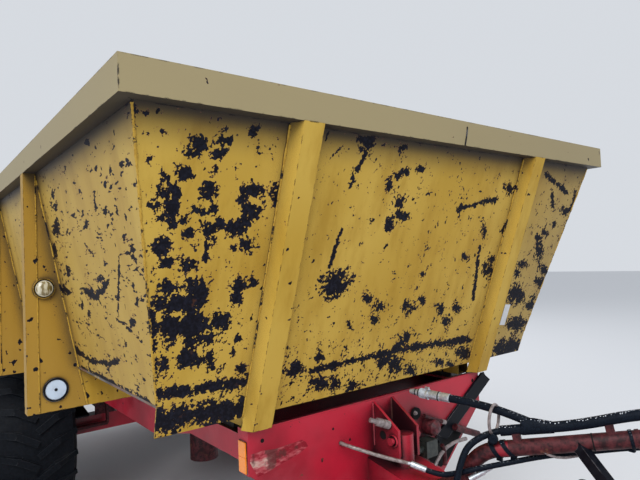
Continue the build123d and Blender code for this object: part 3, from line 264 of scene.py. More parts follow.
def yellow_paint(name, flaked=False, specks=1.0, dusty=0.0, streaks=True, along=1.0, deep=0.0, far_greying=0.0):
    """Faded ochre with chips and rust, and painted shade in inner corners, on faces that look down and under
    the rim of a flaked wall. On a flaked wall the mesh says where whole patches are lost.
    """
    n = Nodes(name)
    body = n.blend(n.noise(1.3, 3.0), 0.35, 0.65, OCHRE, OCHRE_LIGHT)
    if streaks:
        down = n.noise(9.0, 5.0, 0.6, place=n.stretched(1.0, 1.0, 0.09))
        body = n.tint(body, OCHRE_DEEP, 0.55, down, 0.42, 0.72)
    if dusty:
        body = n.mix(dusty, body, OCHRE_DUSTY)
    # Greyer towards the far side, from y 0.3 m to 1.2 m
    if far_greying:
        body = n.tint(body, OCHRE_DUSTY, far_greying, n.axis("Y"), 0.3, 1.2)
    if deep:
        body = n.mix(deep, body, OCHRE_DEEP)
    # Painted shade: deeper ochre, then near-black ochre, in inner corners
    body = n.tint(body, OCHRE_DEEP, 0.60, n.corners(0.20), 0.0, 0.7)
    body = n.tint(body, OCHRE_SHADE, 0.88, n.corners(0.10), 0.05, 0.6)
    if flaked:
        # Painted shadow of the rim's overhang: the wall darkens over its top 13 cm, to near black just under
        # the rim
        body = n.mix(n.rise(RIM_BOTTOM - 0.13, RIM_BOTTOM + 0.02, 0.0, 0.85), body, OCHRE_SHADE)
        body = n.mix(n.rise(RIM_BOTTOM - 0.05, RIM_BOTTOM, 0.0, 0.7), body, OCHRE_UNDER_SHADE)
    # Painted shade on faces that look down
    body = n.tint(body, OCHRE_UNDER_SHADE, 0.85, n.facing("Z"), -0.3, -0.8)
    # Small chips over the whole face, more of them low down, and worn edges
    fine = n.noise(84.0, 2.5, 0.60, place=n.stretched(along, 1.0, 1.0))
    coarse = n.noise(24.0, 3.0, 0.60, place=n.stretched(along, 1.0, 1.0))
    spots = n.noise(34.0, 2.5, 0.5, place=n.stretched(0.9, 0.9, 0.75))
    spots = n.math("ADD", spots, n.rise(1.50, 1.14, 0.0, 0.05))
    if flaked:
        spots = n.swayed(spots, n.attribute("flakes"), 0.12)
    level = 0.740 - 0.02 * specks
    gone = n.both(n.steps(spots, level - 0.010, level), n.times(n.edges(0.006), n.steps(coarse, 0.48, 0.60)))
    if flaked:
        patches = n.swayed(n.swayed(n.attribute("flakes"), fine, 2.3), coarse, 2.1)
        gone = n.both(gone, n.steps(patches, 0.990, 1.010))
        rusty = n.steps(patches, 0.90, 0.98)
    else:
        rusty = n.steps(spots, level - 0.025, level - 0.005)
    stain = n.times(rusty, n.steps(n.noise(6.0, 2.0), 0.35, 0.65, 0.15, 0.75))
    body = n.mix(stain, body, RUST_PALE)
    bare = n.blend(fine, 0.40, 0.75, BARE_DARK, BARE_BLUE)
    bare = n.tint(bare, RUST, 0.6, n.noise(18.0, 3.0), 0.66, 0.76)
    height = n.math("ADD", n.times(gone, -1.0), n.times(n.noise(3.0, 2.0), 0.6))
    return n.finish(n.mix(gone, body, bare), n.steps(gone, 0.0, 1.0, 0.45, 0.60),
                    normal=n.bump(height, 0.35, 0.002), specular=0.12)


def painted_weld():
    """Painted weld beads, worn to bare steel here and there."""
    n = Nodes("painted_weld")
    grain = n.noise(90.0, 5.0, 0.7)
    body = n.blend(grain, 0.30, 0.60, OCHRE_DEEP, OCHRE)
    bare = n.blend(grain, 0.55, 0.80, BARE_DARK, RUST)
    patches = n.math("ADD", n.noise(14.0, 4.0, 0.6), n.times(grain, 0.5))
    colour = n.blend(patches, 0.79, 0.85, body, bare)
    return n.finish(colour, 0.6, normal=n.bump(grain, 0.4, 0.001), specular=0.3)


def red_paint(name, dusty=0.35, chips=1.0):
    """Dusty crimson with a few chips, and painted shade that makes it nearly black in deep corners."""
    n = Nodes(name)
    body = n.blend(n.noise(2.1, 4.0), 0.35, 0.70, CRIMSON, CRIMSON_DEEP)
    dust = n.noise(5.0, 6.0, 0.7)
    body = n.tint(body, CRIMSON_DUSTY, dusty, dust, 0.45, 0.75)
    # Painted shade: deeper crimson in corners, near black in deep corners and gaps
    body = n.tint(body, CRIMSON_DEEP, 0.6, n.corners(0.12), 0.0, 1.0)
    body = n.tint(body, RED_SHADE, 0.95, n.corners(0.45), 0.35, 0.85)
    level = 0.745 - 0.015 * chips
    spots = n.steps(n.noise(34.0, 3.0, 0.5), level - 0.010, level)
    gone = n.both(spots, n.times(n.edges(0.004), n.steps(n.noise(13.0, 4.0), 0.50, 0.62)))
    bare = n.blend(n.noise(20.0, 3.0), 0.45, 0.60, BARE_DARK, RUST)
    height = n.math("ADD", n.times(gone, -1.0), n.times(n.noise(4.0, 2.0), 0.4))
    return n.finish(n.mix(gone, body, bare), n.steps(dust, 0.3, 0.7, 0.30, 0.50),
                    normal=n.bump(height, 0.3, 0.0015), specular=0.5)


def valve_material():
    """Dark green-grey valve, with the accumulator above it in dull red."""
    n = Nodes("valve_finish")
    fine = n.noise(60.0, 5.0, 0.6)
    low = n.blend(fine, 0.35, 0.65, (0.014, 0.020, 0.018), (0.040, 0.046, 0.040))
    high = n.blend(fine, 0.35, 0.65, (0.050, 0.008, 0.012), (0.130, 0.018, 0.024))
    return n.finish(n.mix(n.rise(0.904, 0.906), low, high), 0.45, normal=n.bump(fine, 0.2, 0.001))


def fittings_material():
    """Bright fittings and coupler, and the duller steel pipe that comes from the cross plate."""
    n = Nodes("fittings_finish")
    fine = n.noise(70.0, 5.0, 0.6)
    bright = n.blend(fine, 0.35, 0.65, (0.40, 0.44, 0.48), (0.62, 0.66, 0.70))
    dull = n.blend(fine, 0.35, 0.65, (0.16, 0.12, 0.11), (0.34, 0.29, 0.28))
    behind = n.steps(n.axis("X"), at(-0.229, 0, 0).x, at(-0.231, 0, 0).x)
    share = n.times(behind, n.rise(1.05, 1.04))
    return n.finish(n.mix(share, bright, dull), 0.38, metal=n.steps(share, 0.0, 1.0, 0.75, 0.35),
                    normal=n.bump(fine, 0.15, 0.0008))


def scraped_paint():
    """Red paint rubbed through to pale undercoat in streaks, with some rust."""
    n = Nodes("scraped_paint")
    streaks = n.noise(26.0, 5.0, 0.70, place=n.stretched(1.0, 0.35, 1.0))
    pale = n.blend(streaks, 0.50, 0.70, (0.42, 0.060, 0.075), (0.56, 0.36, 0.30))
    colour = n.blend(streaks, 0.42, 0.52, CRIMSON_DEEP, pale)
    colour = n.tint(colour, (0.080, 0.020, 0.018), 0.8, n.noise(9.0, 4.0, 0.6), 0.54, 0.62)
    return n.finish(colour, 0.7, normal=n.bump(streaks, 0.3, 0.001), specular=0.3)


def scraped_steel():
    """The inside of the skip, scoured to bare and rusty steel with paint left near the top."""
    n = Nodes("scraped_steel")
    fine = n.noise(40.0, 6.0, 0.7, place=n.stretched(0.15, 1.0, 1.0))
    steel = n.blend(fine, 0.35, 0.65, (0.090, 0.082, 0.078), (0.220, 0.205, 0.195))
    rust = n.blend(fine, 0.35, 0.65, RUST, RUST_PALE)
    body = n.blend(n.noise(2.2, 5.0, 0.65), 0.42, 0.60, steel, rust)
    kept = n.steps(n.math("ADD", n.noise(7.0, 5.0, 0.65), n.rise(1.70, 2.25, 0.0, 0.30)), 0.62, 0.68)
    colour = n.mix(kept, body, n.mix(0.4, OCHRE, OCHRE_DUSTY))
    return n.finish(colour, 0.62, metal=n.steps(kept, 0.0, 1.0, 0.35, 0.0), normal=n.bump(fine, 0.3, 0.001))


def worn_metal(name, dark, light, rust=0.3, rough=0.45, metal=0.8, grain=60.0):
    n = Nodes(name)
    fine = n.noise(grain, 5.0, 0.65)
    body = n.blend(fine, 0.35, 0.65, dark, light)
    patches = n.noise(9.0, 5.0, 0.6)
    rusty = n.steps(patches, 0.66 - 0.25 * rust, 0.74 - 0.25 * rust)
    colour = n.mix(rusty, body, n.mix(fine, RUST, RUST_PALE))
    shine = n.steps(rusty, 0.0, 1.0, metal, 0.0)
    dull = n.steps(patches, 0.3, 0.7, rough - 0.12, rough + 0.15)
    return n.finish(colour, dull, metal=shine, normal=n.bump(fine, 0.15, 0.0008), specular=0.3)


def tyre_rubber():
    n = Nodes("tyre_rubber")
    fine = n.noise(70.0, 5.0, 0.7)
    # Near-black rubber with a blue cast: the rubber's own black, with painted shade in it
    body = n.blend(fine, 0.3, 0.7, (0.003, 0.004, 0.006), (0.007, 0.009, 0.013))
    mud = n.noise(5.0, 6.0, 0.7)
    colour = n.tint(body, (0.040, 0.038, 0.036), 0.25, mud, 0.56, 0.76)
    edge = n.times(n.edges(0.004), n.steps(mud, 0.40, 0.60, 0.0, 0.5))
    colour = n.mix(edge, colour, (0.070, 0.074, 0.082))
    rough = n.steps(mud, 0.3, 0.7, 0.42, 0.75)
    return n.finish(colour, rough, normal=n.bump(n.noise(120.0, 3.0), 0.2, 0.001), specular=0.1)


def hose_rubber(name, colour=(0.003, 0.005, 0.009), glint_level=0.25):
    n = Nodes(name)
    weave = n.noise(260.0, 3.0, 0.5)
    body = n.blend(weave, 0.35, 0.65, colour, tuple(2.4 * c for c in colour))
    # Painted highlights: pale glints in spots on the faces that look up
    glint_spots = n.steps(n.add("TexVoronoi", "Distance", {"Vector": n.place, "Scale": 120.0}), 0.34, 0.20)
    top = n.steps(n.facing("Z"), 0.55, 0.88)
    painted_glints = n.times(n.times(glint_spots, top), glint_level)
    shade = n.mix(painted_glints, body, (0.75, 0.80, 0.88))
    rough = n.steps(n.noise(40.0, 3.0), 0.3, 0.7, 0.40, 0.65)
    return n.finish(shade, rough, normal=n.bump(weave, 0.35, 0.001), specular=0.08)


def plain_black(name):
    n = Nodes(name)
    fine = n.noise(40.0, 5.0, 0.6)
    body = n.blend(fine, 0.35, 0.65, (0.002, 0.003, 0.006), (0.007, 0.008, 0.013))
    edge = n.times(n.edges(0.003), n.steps(n.noise(14.0, 4.0), 0.48, 0.60))
    colour = n.mix(edge, body, (0.20, 0.20, 0.21))
    rough = n.steps(fine, 0.3, 0.7, 0.40, 0.60)
    return n.finish(colour, rough, normal=n.bump(fine, 0.2, 0.001), specular=0.15)


def lens(name, colour, ribs=0.004, painted_glow=0.0):
    n = Nodes(name)
    wave = n.add("TexWave", "Fac", {"Vector": n.place, "Scale": 0.16 / ribs}, wave_type="BANDS",
                 bands_direction="DIAGONAL")
    body = n.tint(colour, tuple(0.6 * c for c in colour), 0.4, n.noise(25.0, 3.0), 0.4, 0.7)
    # Painted glow: the lens gives off light though no lamp behind it is lit
    if painted_glow:
        n.shader.inputs["Emission Color"].default_value = (*colour, 1.0)
        n.shader.inputs["Emission Strength"].default_value = painted_glow
    return n.finish(body, 0.16, normal=n.bump(wave, 0.25, 0.0008), coat=0.6)


def clear_lens():
    """Clear glass over a hollow: dull yellow behind it, with pale streaks painted in as the highlights of
    its ribs.
    """
    n = Nodes("clear_lens")
    fine = n.noise(70.0, 2.0, 0.5, place=n.stretched(1.0, 1.0, 0.35))
    body = n.blend(fine, 0.42, 0.58, (0.20, 0.15, 0.05), (0.62, 0.58, 0.44))
    return n.finish(body, 0.10, coat=0.8)


def wheel_paint():
    n = Nodes("wheel_paint")
    fine = n.noise(30.0, 5.0, 0.6)
    body = n.blend(n.noise(4.0, 4.0), 0.35, 0.70, (0.50, 0.50, 0.47), (0.34, 0.32, 0.28))
    # Painted shade in the wheel's inner corners
    body = n.tint(body, WHEEL_CORNER_SHADE, 0.7, n.corners(0.08), 0.0, 1.0)
    rusty = n.both(n.steps(fine, 0.66, 0.70), n.times(n.edges(0.004), n.steps(fine, 0.45, 0.6)))
    return n.finish(n.mix(rusty, body, RUST), 0.5, normal=n.bump(fine, 0.2, 0.001))


MATERIALS = {
    "front": yellow_paint("paint_front_wall", flaked=True, far_greying=0.45),
    "side": yellow_paint("paint_side_wall", flaked=True, dusty=0.22, along=0.35),
    "yellow": yellow_paint("paint_yellow", specks=1.2),
    "frame": yellow_paint("paint_side_frames", specks=2.4, dusty=0.40, deep=0.70),
    "rim": yellow_paint("paint_rim", dusty=0.85, specks=0.6, streaks=False),
    "red": red_paint("paint_red"),
    "oxide": red_paint("paint_oxide", dusty=0.6, chips=2.0),
    "brown": worn_metal("brown_paint_and_shade", (0.022, 0.005, 0.007), (0.105, 0.020, 0.024), 0.02, 0.5, 0.1, 40.0),
    "steel": worn_metal("bare_steel", (0.30, 0.31, 0.33), (0.50, 0.51, 0.53), 0.25),
    "silver": worn_metal("zinc_steel", (0.42, 0.46, 0.50), (0.68, 0.72, 0.76), 0.0, 0.35, 0.7),
    "chrome": worn_metal("chromed_steel", (0.62, 0.63, 0.65), (0.78, 0.79, 0.80), 0.0, 0.20, 1.0),
    "black": plain_black("black_steel"),
    "tyre": tyre_rubber(),
    "wheel": wheel_paint(),
    "grey": worn_metal("pale_plastic", (0.46, 0.42, 0.31), (0.58, 0.53, 0.41), 0.0, 0.55, 0.0, 50.0),
    "dark": worn_metal("dark_joint_and_shade", (0.004, 0.004, 0.005), (0.007, 0.007, 0.008), 0.0, 0.9, 0.0),
    "scrape": scraped_paint(),
    "weld": painted_weld(),
    "valve": valve_material(),
    "fittings_dull": worn_metal("dull_ring", (0.20, 0.17, 0.17), (0.36, 0.31, 0.31), 0.0, 0.5, 0.3),
    "fittings": fittings_material(),
    "inside": scraped_steel(),
    "worn_red": red_paint("paint_worn_red", dusty=0.8, chips=3.0),
    "hose": hose_rubber("hose_rubber"),
    "sleeve": hose_rubber("sleeve_cover", glint_level=0.9),
    "pad": hose_rubber("pad_rubber", (0.018, 0.018, 0.018), 0.0),
    "orange": lens("orange_lens", (0.85, 0.24, 0.010), painted_glow=0.15),
    "lamp_red": lens("red_lens", (0.42, 0.010, 0.010)),
    "lamp_clear": clear_lens(),
    "white": lens("white_reflector", (0.55, 0.66, 0.80), 0.003),
    "strip": worn_metal("white_strip", (0.62, 0.64, 0.66), (0.72, 0.74, 0.76), 0.0, 0.5, 0.0, 30.0),
}


# The finish of a CAD node, by the first of these words that its name holds
NODE_FINISHES = (
    ("tyre_", "tyre"), ("wheel_", "wheel"), ("rail", "rim"), ("skip_floor", "inside"),
    ("skip_side_ribs", "frame"), ("skip", "yellow"), ("gate_", "yellow"), ("tailgate", "yellow"),
    ("valve_unit", "valve"), ("drawbar_strut", "worn_red"), ("towing_eye", "steel"),
    ("hinge_pins", "steel"), ("bogie_shaft", "steel"), ("ram_stage", "chrome"), ("lamp_bar", "black"),
    ("black_stays", "black"), ("leaf_springs", "black"), ("jack_leg", "black"), ("rest_pads", "pad"),
    # The ram's barrel takes the dark brown as painted shade: it stands in shade under the skip
    ("hose_arm", "brown"), ("brake_chambers", "brown"), ("ram_barrel", "brown"),
    ("hose_fittings", "fittings"), ("road_lamps", "lamp_red"), ("front_lamps", "lamp_clear"),
    ("", "red"),
)


def paint_nodes():
    for node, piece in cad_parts.items():
        finish = next(finish for word, finish in NODE_FINISHES if word in node)
        piece.data.materials.clear()
        piece.data.materials.append(MATERIALS[finish])


paint_nodes()


# Hoses

HOSES = (
    # name, CAD node, route, diameter, length, far end, finish
    ("sleeve_hose", "hose_sleeve", SLEEVE_POINTS, 0.040, 0.895, "object", "sleeve"),
    ("feed_hose", "hose_feed", FEED_POINTS, 0.033, 0.383, "connector", "hose"),
    ("loop_hose", "hose_loop", LOOP_POINTS, 0.026, 0.345, "object", "hose"),
    ("return_hose", "hose_return", RETURN_POINTS, 0.021, 1.199, "object", "hose"),
)


def make_hose(name, node, route, diameter, length, far_end, finish):
    curve = bpy.data.curves.new(name, "CURVE")
    curve.dimensions = "3D"
    curve.bevel_depth = diameter / 2
    curve.bevel_resolution = 6
    curve.resolution_u = 10
    curve.use_fill_caps = True
    curve.materials.append(MATERIALS[finish])
    spline = curve.splines.new("NURBS")
    spline.points.add(len(route) - 1)
    for point, place in zip(spline.points, route):
        point.co = (*at(*place), 1.0)
    spline.order_u = 3
    spline.use_endpoint_u = True
    piece = bpy.data.objects.new(name, curve)
    bpy.context.scene.collection.objects.link(piece)
    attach(piece, "chassis")
    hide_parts(node)
    at(*route[0])


for hose in HOSES:
    make_hose(*hose)


# Meshes of the details

def circle(centre, a, b, count, first=0.0):
    """Points on an ellipse with the half axes a and b. The first is a share of a step on."""
    turns = [2 * math.pi * (i + first) / count for i in range(count)]
    return [centre + a * math.cos(turn) + b * math.sin(turn) for turn in turns]


class Shape:
    """Points and faces of one piece, in the trailer's own frame, put together from simple solids."""

    def __init__(self):
        self.points = []
        self.faces = []

    def skin(self, rings, closed=False):
        """A skin over rings of points, with a cap at each end unless the last ring joins the first."""
        first, sides, count = len(self.points), len(rings[0]), len(rings)
        self.points += [Vector(point) for ring in rings for point in ring]
        faces = []
        for k in range(count if closed else count - 1):
            here, there = k * sides, (k + 1) % count * sides
            for i in range(sides):
                j = (i + 1) % sides
                faces.append((here + i, here + j, there + j, there + i))
        if not closed:
            faces += [tuple(reversed(range(sides))), tuple(range((count - 1) * sides, count * sides))]
        self.faces += [tuple(first + i for i in face) for face in faces]

    def plate(self, outline, depth):
        """A flat sheet from its outline to a copy of it that lies deeper."""
        self.skin([outline, [point - Vector(depth) for point in outline]])

    def block(self, low, high):
        corners = [(low[0], low[1]), (high[0], low[1]), (high[0], high[1]), (low[0], high[1])]
        self.skin([[(x, y, z) for x, y in corners] for z in (low[2], high[2])])

    def turned(self, start, along, steps, sides=20):
        """A solid of revolution: steps are pairs of distance along the axis and radius."""
        axis = Vector(along).normalized()
        side = axis.orthogonal().normalized()
        other = axis.cross(side)
        self.skin([circle(Vector(start) + axis * distance, side * radius, other * radius, sides)
                   for distance, radius in steps])

    def rod(self, start, end, radius, sides=16):
        along = Vector(end) - Vector(start)
        self.turned(start, along, [(0, radius), (along.length, radius)], sides)

    def nut(self, place, along, across, height):
        """A hexagon nut on its washer, with the bolt's end standing out of it."""
        axis = Vector(along).normalized()
        washer, corner, bolt = across * 0.72, across * 0.577, across * 0.28
        self.turned(place, axis, [(0, washer), (height * 0.16, washer)], 16)
        self.turned(Vector(place) + axis * height * 0.16, axis,
                    [(0, corner), (height * 0.75, corner), (height * 0.84, across * 0.50)], 6)
        self.turned(Vector(place) + axis * height, axis, [(0, bolt), (height * 0.3, bolt)], 10)

    def tube(self, path, radius, sides=8, closed=False, thickness=None):
        """A tube along a path. thickness gives the radius at each point where it isn't even."""
        path = [Vector(point) for point in path]
        count = len(path)
        rings = []
        side = None
        for k, place in enumerate(path):
            before = path[(k - 1) % count] if closed or k else path[0]
            after = path[(k + 1) % count] if closed or k < count - 1 else path[-1]
            axis = (after - before).normalized()
            side = axis.orthogonal() if side is None else side - axis * side.dot(axis)
            side.normalize()
            r = thickness[k] if thickness else radius
            rings.append(circle(place, side * r, axis.cross(side) * r, sides))
        self.skin(rings, closed)

    def weld(self, start, end, radius, pitch=0.007):
        """A weld bead: a thin tube with uneven ripples."""
        start, end = Vector(start), Vector(end)
        count = max(3, int((end - start).length / pitch))
        path = [start.lerp(end, k / count) for k in range(count + 1)]
        swell = [radius * (0.8 + 0.25 * (k % 2) + 0.5 * noise.noise(p * 40.0)) for k, p in enumerate(path)]
        self.tube(path, radius, 6, thickness=swell)


def make(name, shape, body, slot, *materials, smooth=35, replaces=()):
    mesh = bpy.data.meshes.new(name)
    mesh.from_pydata([at(*point) for point in shape.points], [], shape.faces)
    work = bmesh.new()
    work.from_mesh(mesh)
    bmesh.ops.recalc_face_normals(work, faces=work.faces)
    work.to_mesh(mesh)
    work.free()
    mesh.shade_smooth()
    mesh.set_sharp_from_angle(angle=math.radians(smooth))
    for material in materials:
        mesh.materials.append(MATERIALS[material])
    piece = bpy.data.objects.new(name, mesh)
    bpy.context.scene.collection.objects.link(piece)
    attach(piece, body)
    if replaces:
        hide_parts(*replaces)
    return piece


# Flaked paint. Each patch is noted in the photograph's pixels: the middle, half the size across
# and down, and how far it leans to the right in degrees. The shader makes its ragged outline.

FRONT_FLAKES = [
    # u, v, half across, half down, and the lean where there is one
    (147, 113, 4, 3), (164, 132, 3, 3), (199, 145, 7, 8), (189, 153, 4, 4), (227, 140, 8, 6),
    (221, 154, 5, 4), (255, 132, 5, 4), (150, 160, 2, 4), (185, 174, 8, 6), (216, 169, 2, 4),
    (164, 176, 3, 6), (165, 192, 7, 7), (175, 192, 5, 7), (209, 191, 8, 10), (252, 190, 10, 6),
    (245, 198, 5, 4), (277, 194, 6, 9), (157, 206, 7, 5), (172, 208, 8, 9), (161, 218, 5, 5),
    (199, 211, 6, 4), (253, 212, 11, 8), (245, 221, 5, 5), (214, 210, 3, 7), (185, 220, 4, 4),
    (172, 225, 5, 7), (210, 231, 9, 9), (219, 223, 5, 6), (235, 229, 10, 10), (188, 234, 6, 5),
    (161, 246, 10, 8), (248, 245, 8, 5), (233, 248, 3, 3), (167, 263, 7, 6), (187, 265, 9, 6),
    (171, 287, 9, 6), (200, 293, 11, 13), (173, 305, 16, 9), (238, 284, 8, 7), (235, 299, 5, 8),
    (253, 281, 6, 4), (193, 328, 14, 18), (170, 330, 11, 13), (222, 322, 9, 9), (205, 338, 12, 7),
    (152, 342, 5, 13), (154, 369, 5, 13), (189, 359, 14, 8), (210, 362, 4, 11), (164, 365, 5, 7),
    (233, 353, 3, 3), (238, 339, 3, 3), (241, 370, 7, 4), (367, 142, 7, 10), (352, 177, 2, 7),
    (402, 148, 3, 3), (397, 175, 4, 3), (405, 172, 3, 3), (390, 185, 3, 6), (419, 169, 3, 3),
    (399, 203, 5, 5), (399, 215, 7, 4), (390, 223, 4, 6), (371, 221, 2, 2), (465, 257, 3, 4),
    (335, 285, 16, 12, -35), (368, 299, 5, 5), (377, 306, 6, 5), (375, 320, 4, 3), (409, 307, 6, 6),
    (422, 299, 2, 4), (440, 310, 3, 5), (447, 321, 3, 5), (457, 308, 3, 4), (422, 274, 2, 3),
    (349, 324, 2, 3), (319, 357, 4, 5), (319, 384, 7, 7), (334, 385, 6, 6), (354, 385, 9, 5),
    (394, 364, 6, 8), (411, 369, 6, 5), (440, 362, 4, 3), (450, 364, 4, 3), (464, 353, 7, 4),
    (509, 188, 4, 5), (484, 230, 2.5, 9), (504, 229, 2, 4), (489, 270, 5, 7), (492, 260, 3, 3),
    (565, 211, 4, 4), (553, 225, 2, 4), (544, 233, 3, 3), (539, 237, 3, 3), (539, 251, 3, 8),
    (522, 264, 4, 3), (543, 270, 4, 4), (539, 281, 4, 5), (517, 273, 2, 4), (516, 295, 9, 9),
    (516, 325, 10, 8), (530, 305, 4, 4), (533, 298, 2, 2), (465, 353, 6, 5), (462, 340, 5, 2),
    (500, 348, 10, 8, -15), (512, 346, 9, 8, -15), (294, 369.5, 9, 6.5, -35),
]
FRONT_SCRATCHES = [
    # from u, v, to u, v, half width
    (206, 240, 206, 260, 1.5), (160, 395, 252, 380, 5.5), (156, 422, 247, 407, 11.0),
    (152, 315, 153, 385, 3.5), (191, 285, 191, 350, 6.0),
    (133, 105, 131, 260, 1.8), (132, 260, 134, 440, 2.4), (367, 150, 357, 170, 1.5),
    (342, 229, 332, 257, 1.2), (338, 243, 329, 267, 1.2), (458, 209, 495, 199, 2.2),
    (312, 370, 400, 350, 3.0), (400, 350, 467, 339, 3.0), (381, 365, 408, 336, 3.5),
    (480, 246, 473, 299, 1.0), (546, 174, 567, 193, 2.0), (552, 190, 553, 207, 1.0),
    (576, 192, 571, 210, 1.5),
]
SIDE_FLAKES = [
    # u, v, half across, half down, and the lean where there is one
    (96, 169, 1.2, 3), (101, 172, 1.2, 3), (110, 171, 1.2, 4), (121, 165, 1.2, 3), (121, 175, 1.2, 3),
    (105, 184, 1.2, 4), (111, 187, 1.2, 3), (126, 186, 1.2, 4), (94, 192, 1.2, 5), (95, 205, 1.2, 5),
    (105, 212, 2, 6), (117, 211, 1.2, 4), (126, 219, 1.2, 4), (74, 184, 2, 4), (53, 193, 2, 6),
    (56, 205, 2, 6), (56, 228, 4, 10), (37, 205, 2, 8), (124, 239, 1.5, 4), (132, 244, 2, 3),
    (88, 143, 2.5, 2.5), (86, 224, 2, 5), (54, 249, 3.5, 12), (68, 272, 2, 7), (89, 314, 1.5, 4),
    (82, 303, 1.2, 5), (105, 266, 1.2, 4), (137, 300, 1.2, 5), (133, 322, 3, 8), (126, 343, 1.2, 3),
    (65.5, 291, 6, 4.5), (132, 246, 2, 2), (133, 254, 2, 7), (117, 320, 2, 2),
]
SIDE_SCRATCHES = [
    # from u, v, to u, v, half width
    (84, 288, 96, 298, 3.0), (96, 298, 108, 282, 3.0), (74, 349, 92, 362, 2.4),
    (92, 362, 116, 363, 2.4), (131, 252, 119, 256, 1.0), (119, 256, 118, 320, 0.8),
    (118, 320, 142, 341, 0.8), (79, 366, 151, 403, 2.6), (0, 375, 23, 371, 2.4),
]
# Where the paint is worn more widely: broad areas full of small chips
FRONT_WORN = [
    # u, v, half across, half down
    (195, 215, 55, 60), (190, 320, 48, 70), (200, 400, 60, 32), (400, 352, 90, 22), (400, 185, 25, 45),
    (372, 305, 20, 14), (515, 320, 26, 34), (540, 240, 26, 60), (335, 380, 34, 16),
]
SIDE_WORN = [
    # u, v, half across, half down
    (110, 190, 26, 40), (60, 240, 12, 50), (120, 300, 22, 50), (12, 368, 16, 10),
]
WORN_LEVEL = 0.11
SOLID_FROM = 5.0
SOLID_GAIN = 0.06
FLAKE_FALL = 0.62
SCRATCH_MARGIN = 0.4
# Each wall's patches, scratches and worn areas, how surely a patch is bare, and its margin in pixels
FRONT_MARKS = (FRONT_FLAKES, FRONT_SCRATCHES, FRONT_WORN, 1.61, 0.9)
NEAR_SIDE_MARKS = (SIDE_FLAKES, SIDE_SCRATCHES, SIDE_WORN, 1.47, 0.25)
FAR_SIDE_MARKS = ((), (), (), 1.47, 0.25)


def pixels_of(points):
    """Where points of the row frame lie in the photograph, as two arrays."""
    right, up, ahead = (np.array(axis) for axis in camera_axes())
    away = np.array(points) - np.array(CAMERA_PLACE)
    depth = away @ ahead
    u = PHOTO_WIDTH / 2 + FOCAL_PIXELS * (away @ right) / depth
    v = PHOTO_HEIGHT / 2 - FOCAL_PIXELS * (away @ up) / depth
    return u, v


def flaking(points, level, flakes, scratches, worn, core, margin):
    """How much of the paint is lost at each point: over 1 in the middle of a patch."""
    u, v = pixels_of(points)
    lost = np.array(level)
    for middle_u, middle_v, across, down in worn:
        lost += WORN_LEVEL * np.exp(-((u - middle_u) / across) ** 2 - ((v - middle_v) / down) ** 2)
    for middle_u, middle_v, across, down, *lean in flakes:
        turn = math.radians(lean[0] if lean else 0)
        c, s = math.cos(turn), math.sin(turn)
        a = ((u - middle_u) * c + (v - middle_v) * s) / (across + margin)
        b = ((v - middle_v) * c - (u - middle_u) * s) / (down + margin)
        height = core - 1 + SOLID_GAIN * max(0.0, min(across, down) - SOLID_FROM)
        lost = np.maximum(lost, 1 + height * (1 - np.hypot(a, b) * FLAKE_FALL / (core - 1)))
    for u0, v0, u1, v1, half in scratches:
        run_u, run_v = u1 - u0, v1 - v0
        share = np.clip(((u - u0) * run_u + (v - v0) * run_v) / (run_u ** 2 + run_v ** 2), 0, 1)
        away = np.hypot(u - u0 - share * run_u, v - v0 - share * run_v)
        lost = np.maximum(lost, core - FLAKE_FALL * away / (half + SCRATCH_MARGIN))
    return lost


def add_sheet(shape, front, columns, behind):
    """A closed sheet: rows of points in front, and flat behind, where behind() gives its border."""
    last = len(front) - columns
    for start in range(0, last, columns):
        shape.faces += [(i, i + 1, i + columns + 1, i + columns) for i in range(start, start + columns - 1)]
    border = list(range(columns)) + list(range(2 * columns - 1, last, columns))
    border += list(range(len(front) - 1, last - 1, -1)) + list(range(last - columns, 0, -columns))
    first, count = len(front), len(border)
    shape.points = front + [behind(front[i]) for i in border]
    shape.faces.append(tuple(reversed(range(first, first + count))))
    for k in range(count):
        j = (k + 1) % count
        shape.faces.append((border[j], border[k], first + k, first + j))


def spread(low, high, step):
    count = max(1, round(abs(high - low) / step))
    return [low + (high - low) * i / count for i in range(count + 1)]


FLAKE_STEP = 0.0085
FAR_STEP = 0.045
DENT_DEPTH = 0.0015
NEAR_BAYS_X = -1.95
EDGE_WEAR_REACH = 0.030
# General wear of a wall, and what is added near its foot, near its edges and by chance
FRONT_WEAR = (0.50, 0.14, 0.16, 0.08)
FRONT_FOOT_REACH = 0.10
SIDE_WEAR = (0.52, 0.24, 0.14, 0.10)
SIDE_FOOT_REACH = 0.07


def wall_skin(node, name, finish, outer, base, columns, behind, inward, marks):
    """A sheet of the skip again, with its flaked paint outside and the scoured finish inside."""
    shape = Shape()
    add_sheet(shape, outer, columns, behind)
    mesh = make(name, shape, "bed", "yellow_paint", finish, "inside", replaces=(node,)).data
    for polygon in mesh.polygons:
        if polygon.normal.dot(Vector(inward)) > 0.5:
            polygon.material_index = 1
    values = np.zeros(len(mesh.vertices))
    values[:len(outer)] = flaking([at(*point) for point in outer], base, *marks)
    mesh.attributes.new("flakes", "FLOAT", "POINT").data.foreach_set("value", values.tolist())


def dent(place, scale):
    return DENT_DEPTH * (0.5 + 0.5 * noise.noise(place * scale))


def front_half(z):
    if z >= FLOOR_LEVEL:
        return side_y(z)
    return FOOT_HALF + (FLOOR_HALF - FOOT_HALF) * (z - FOOT_LEVEL) / (FLOOR_LEVEL - FOOT_LEVEL)


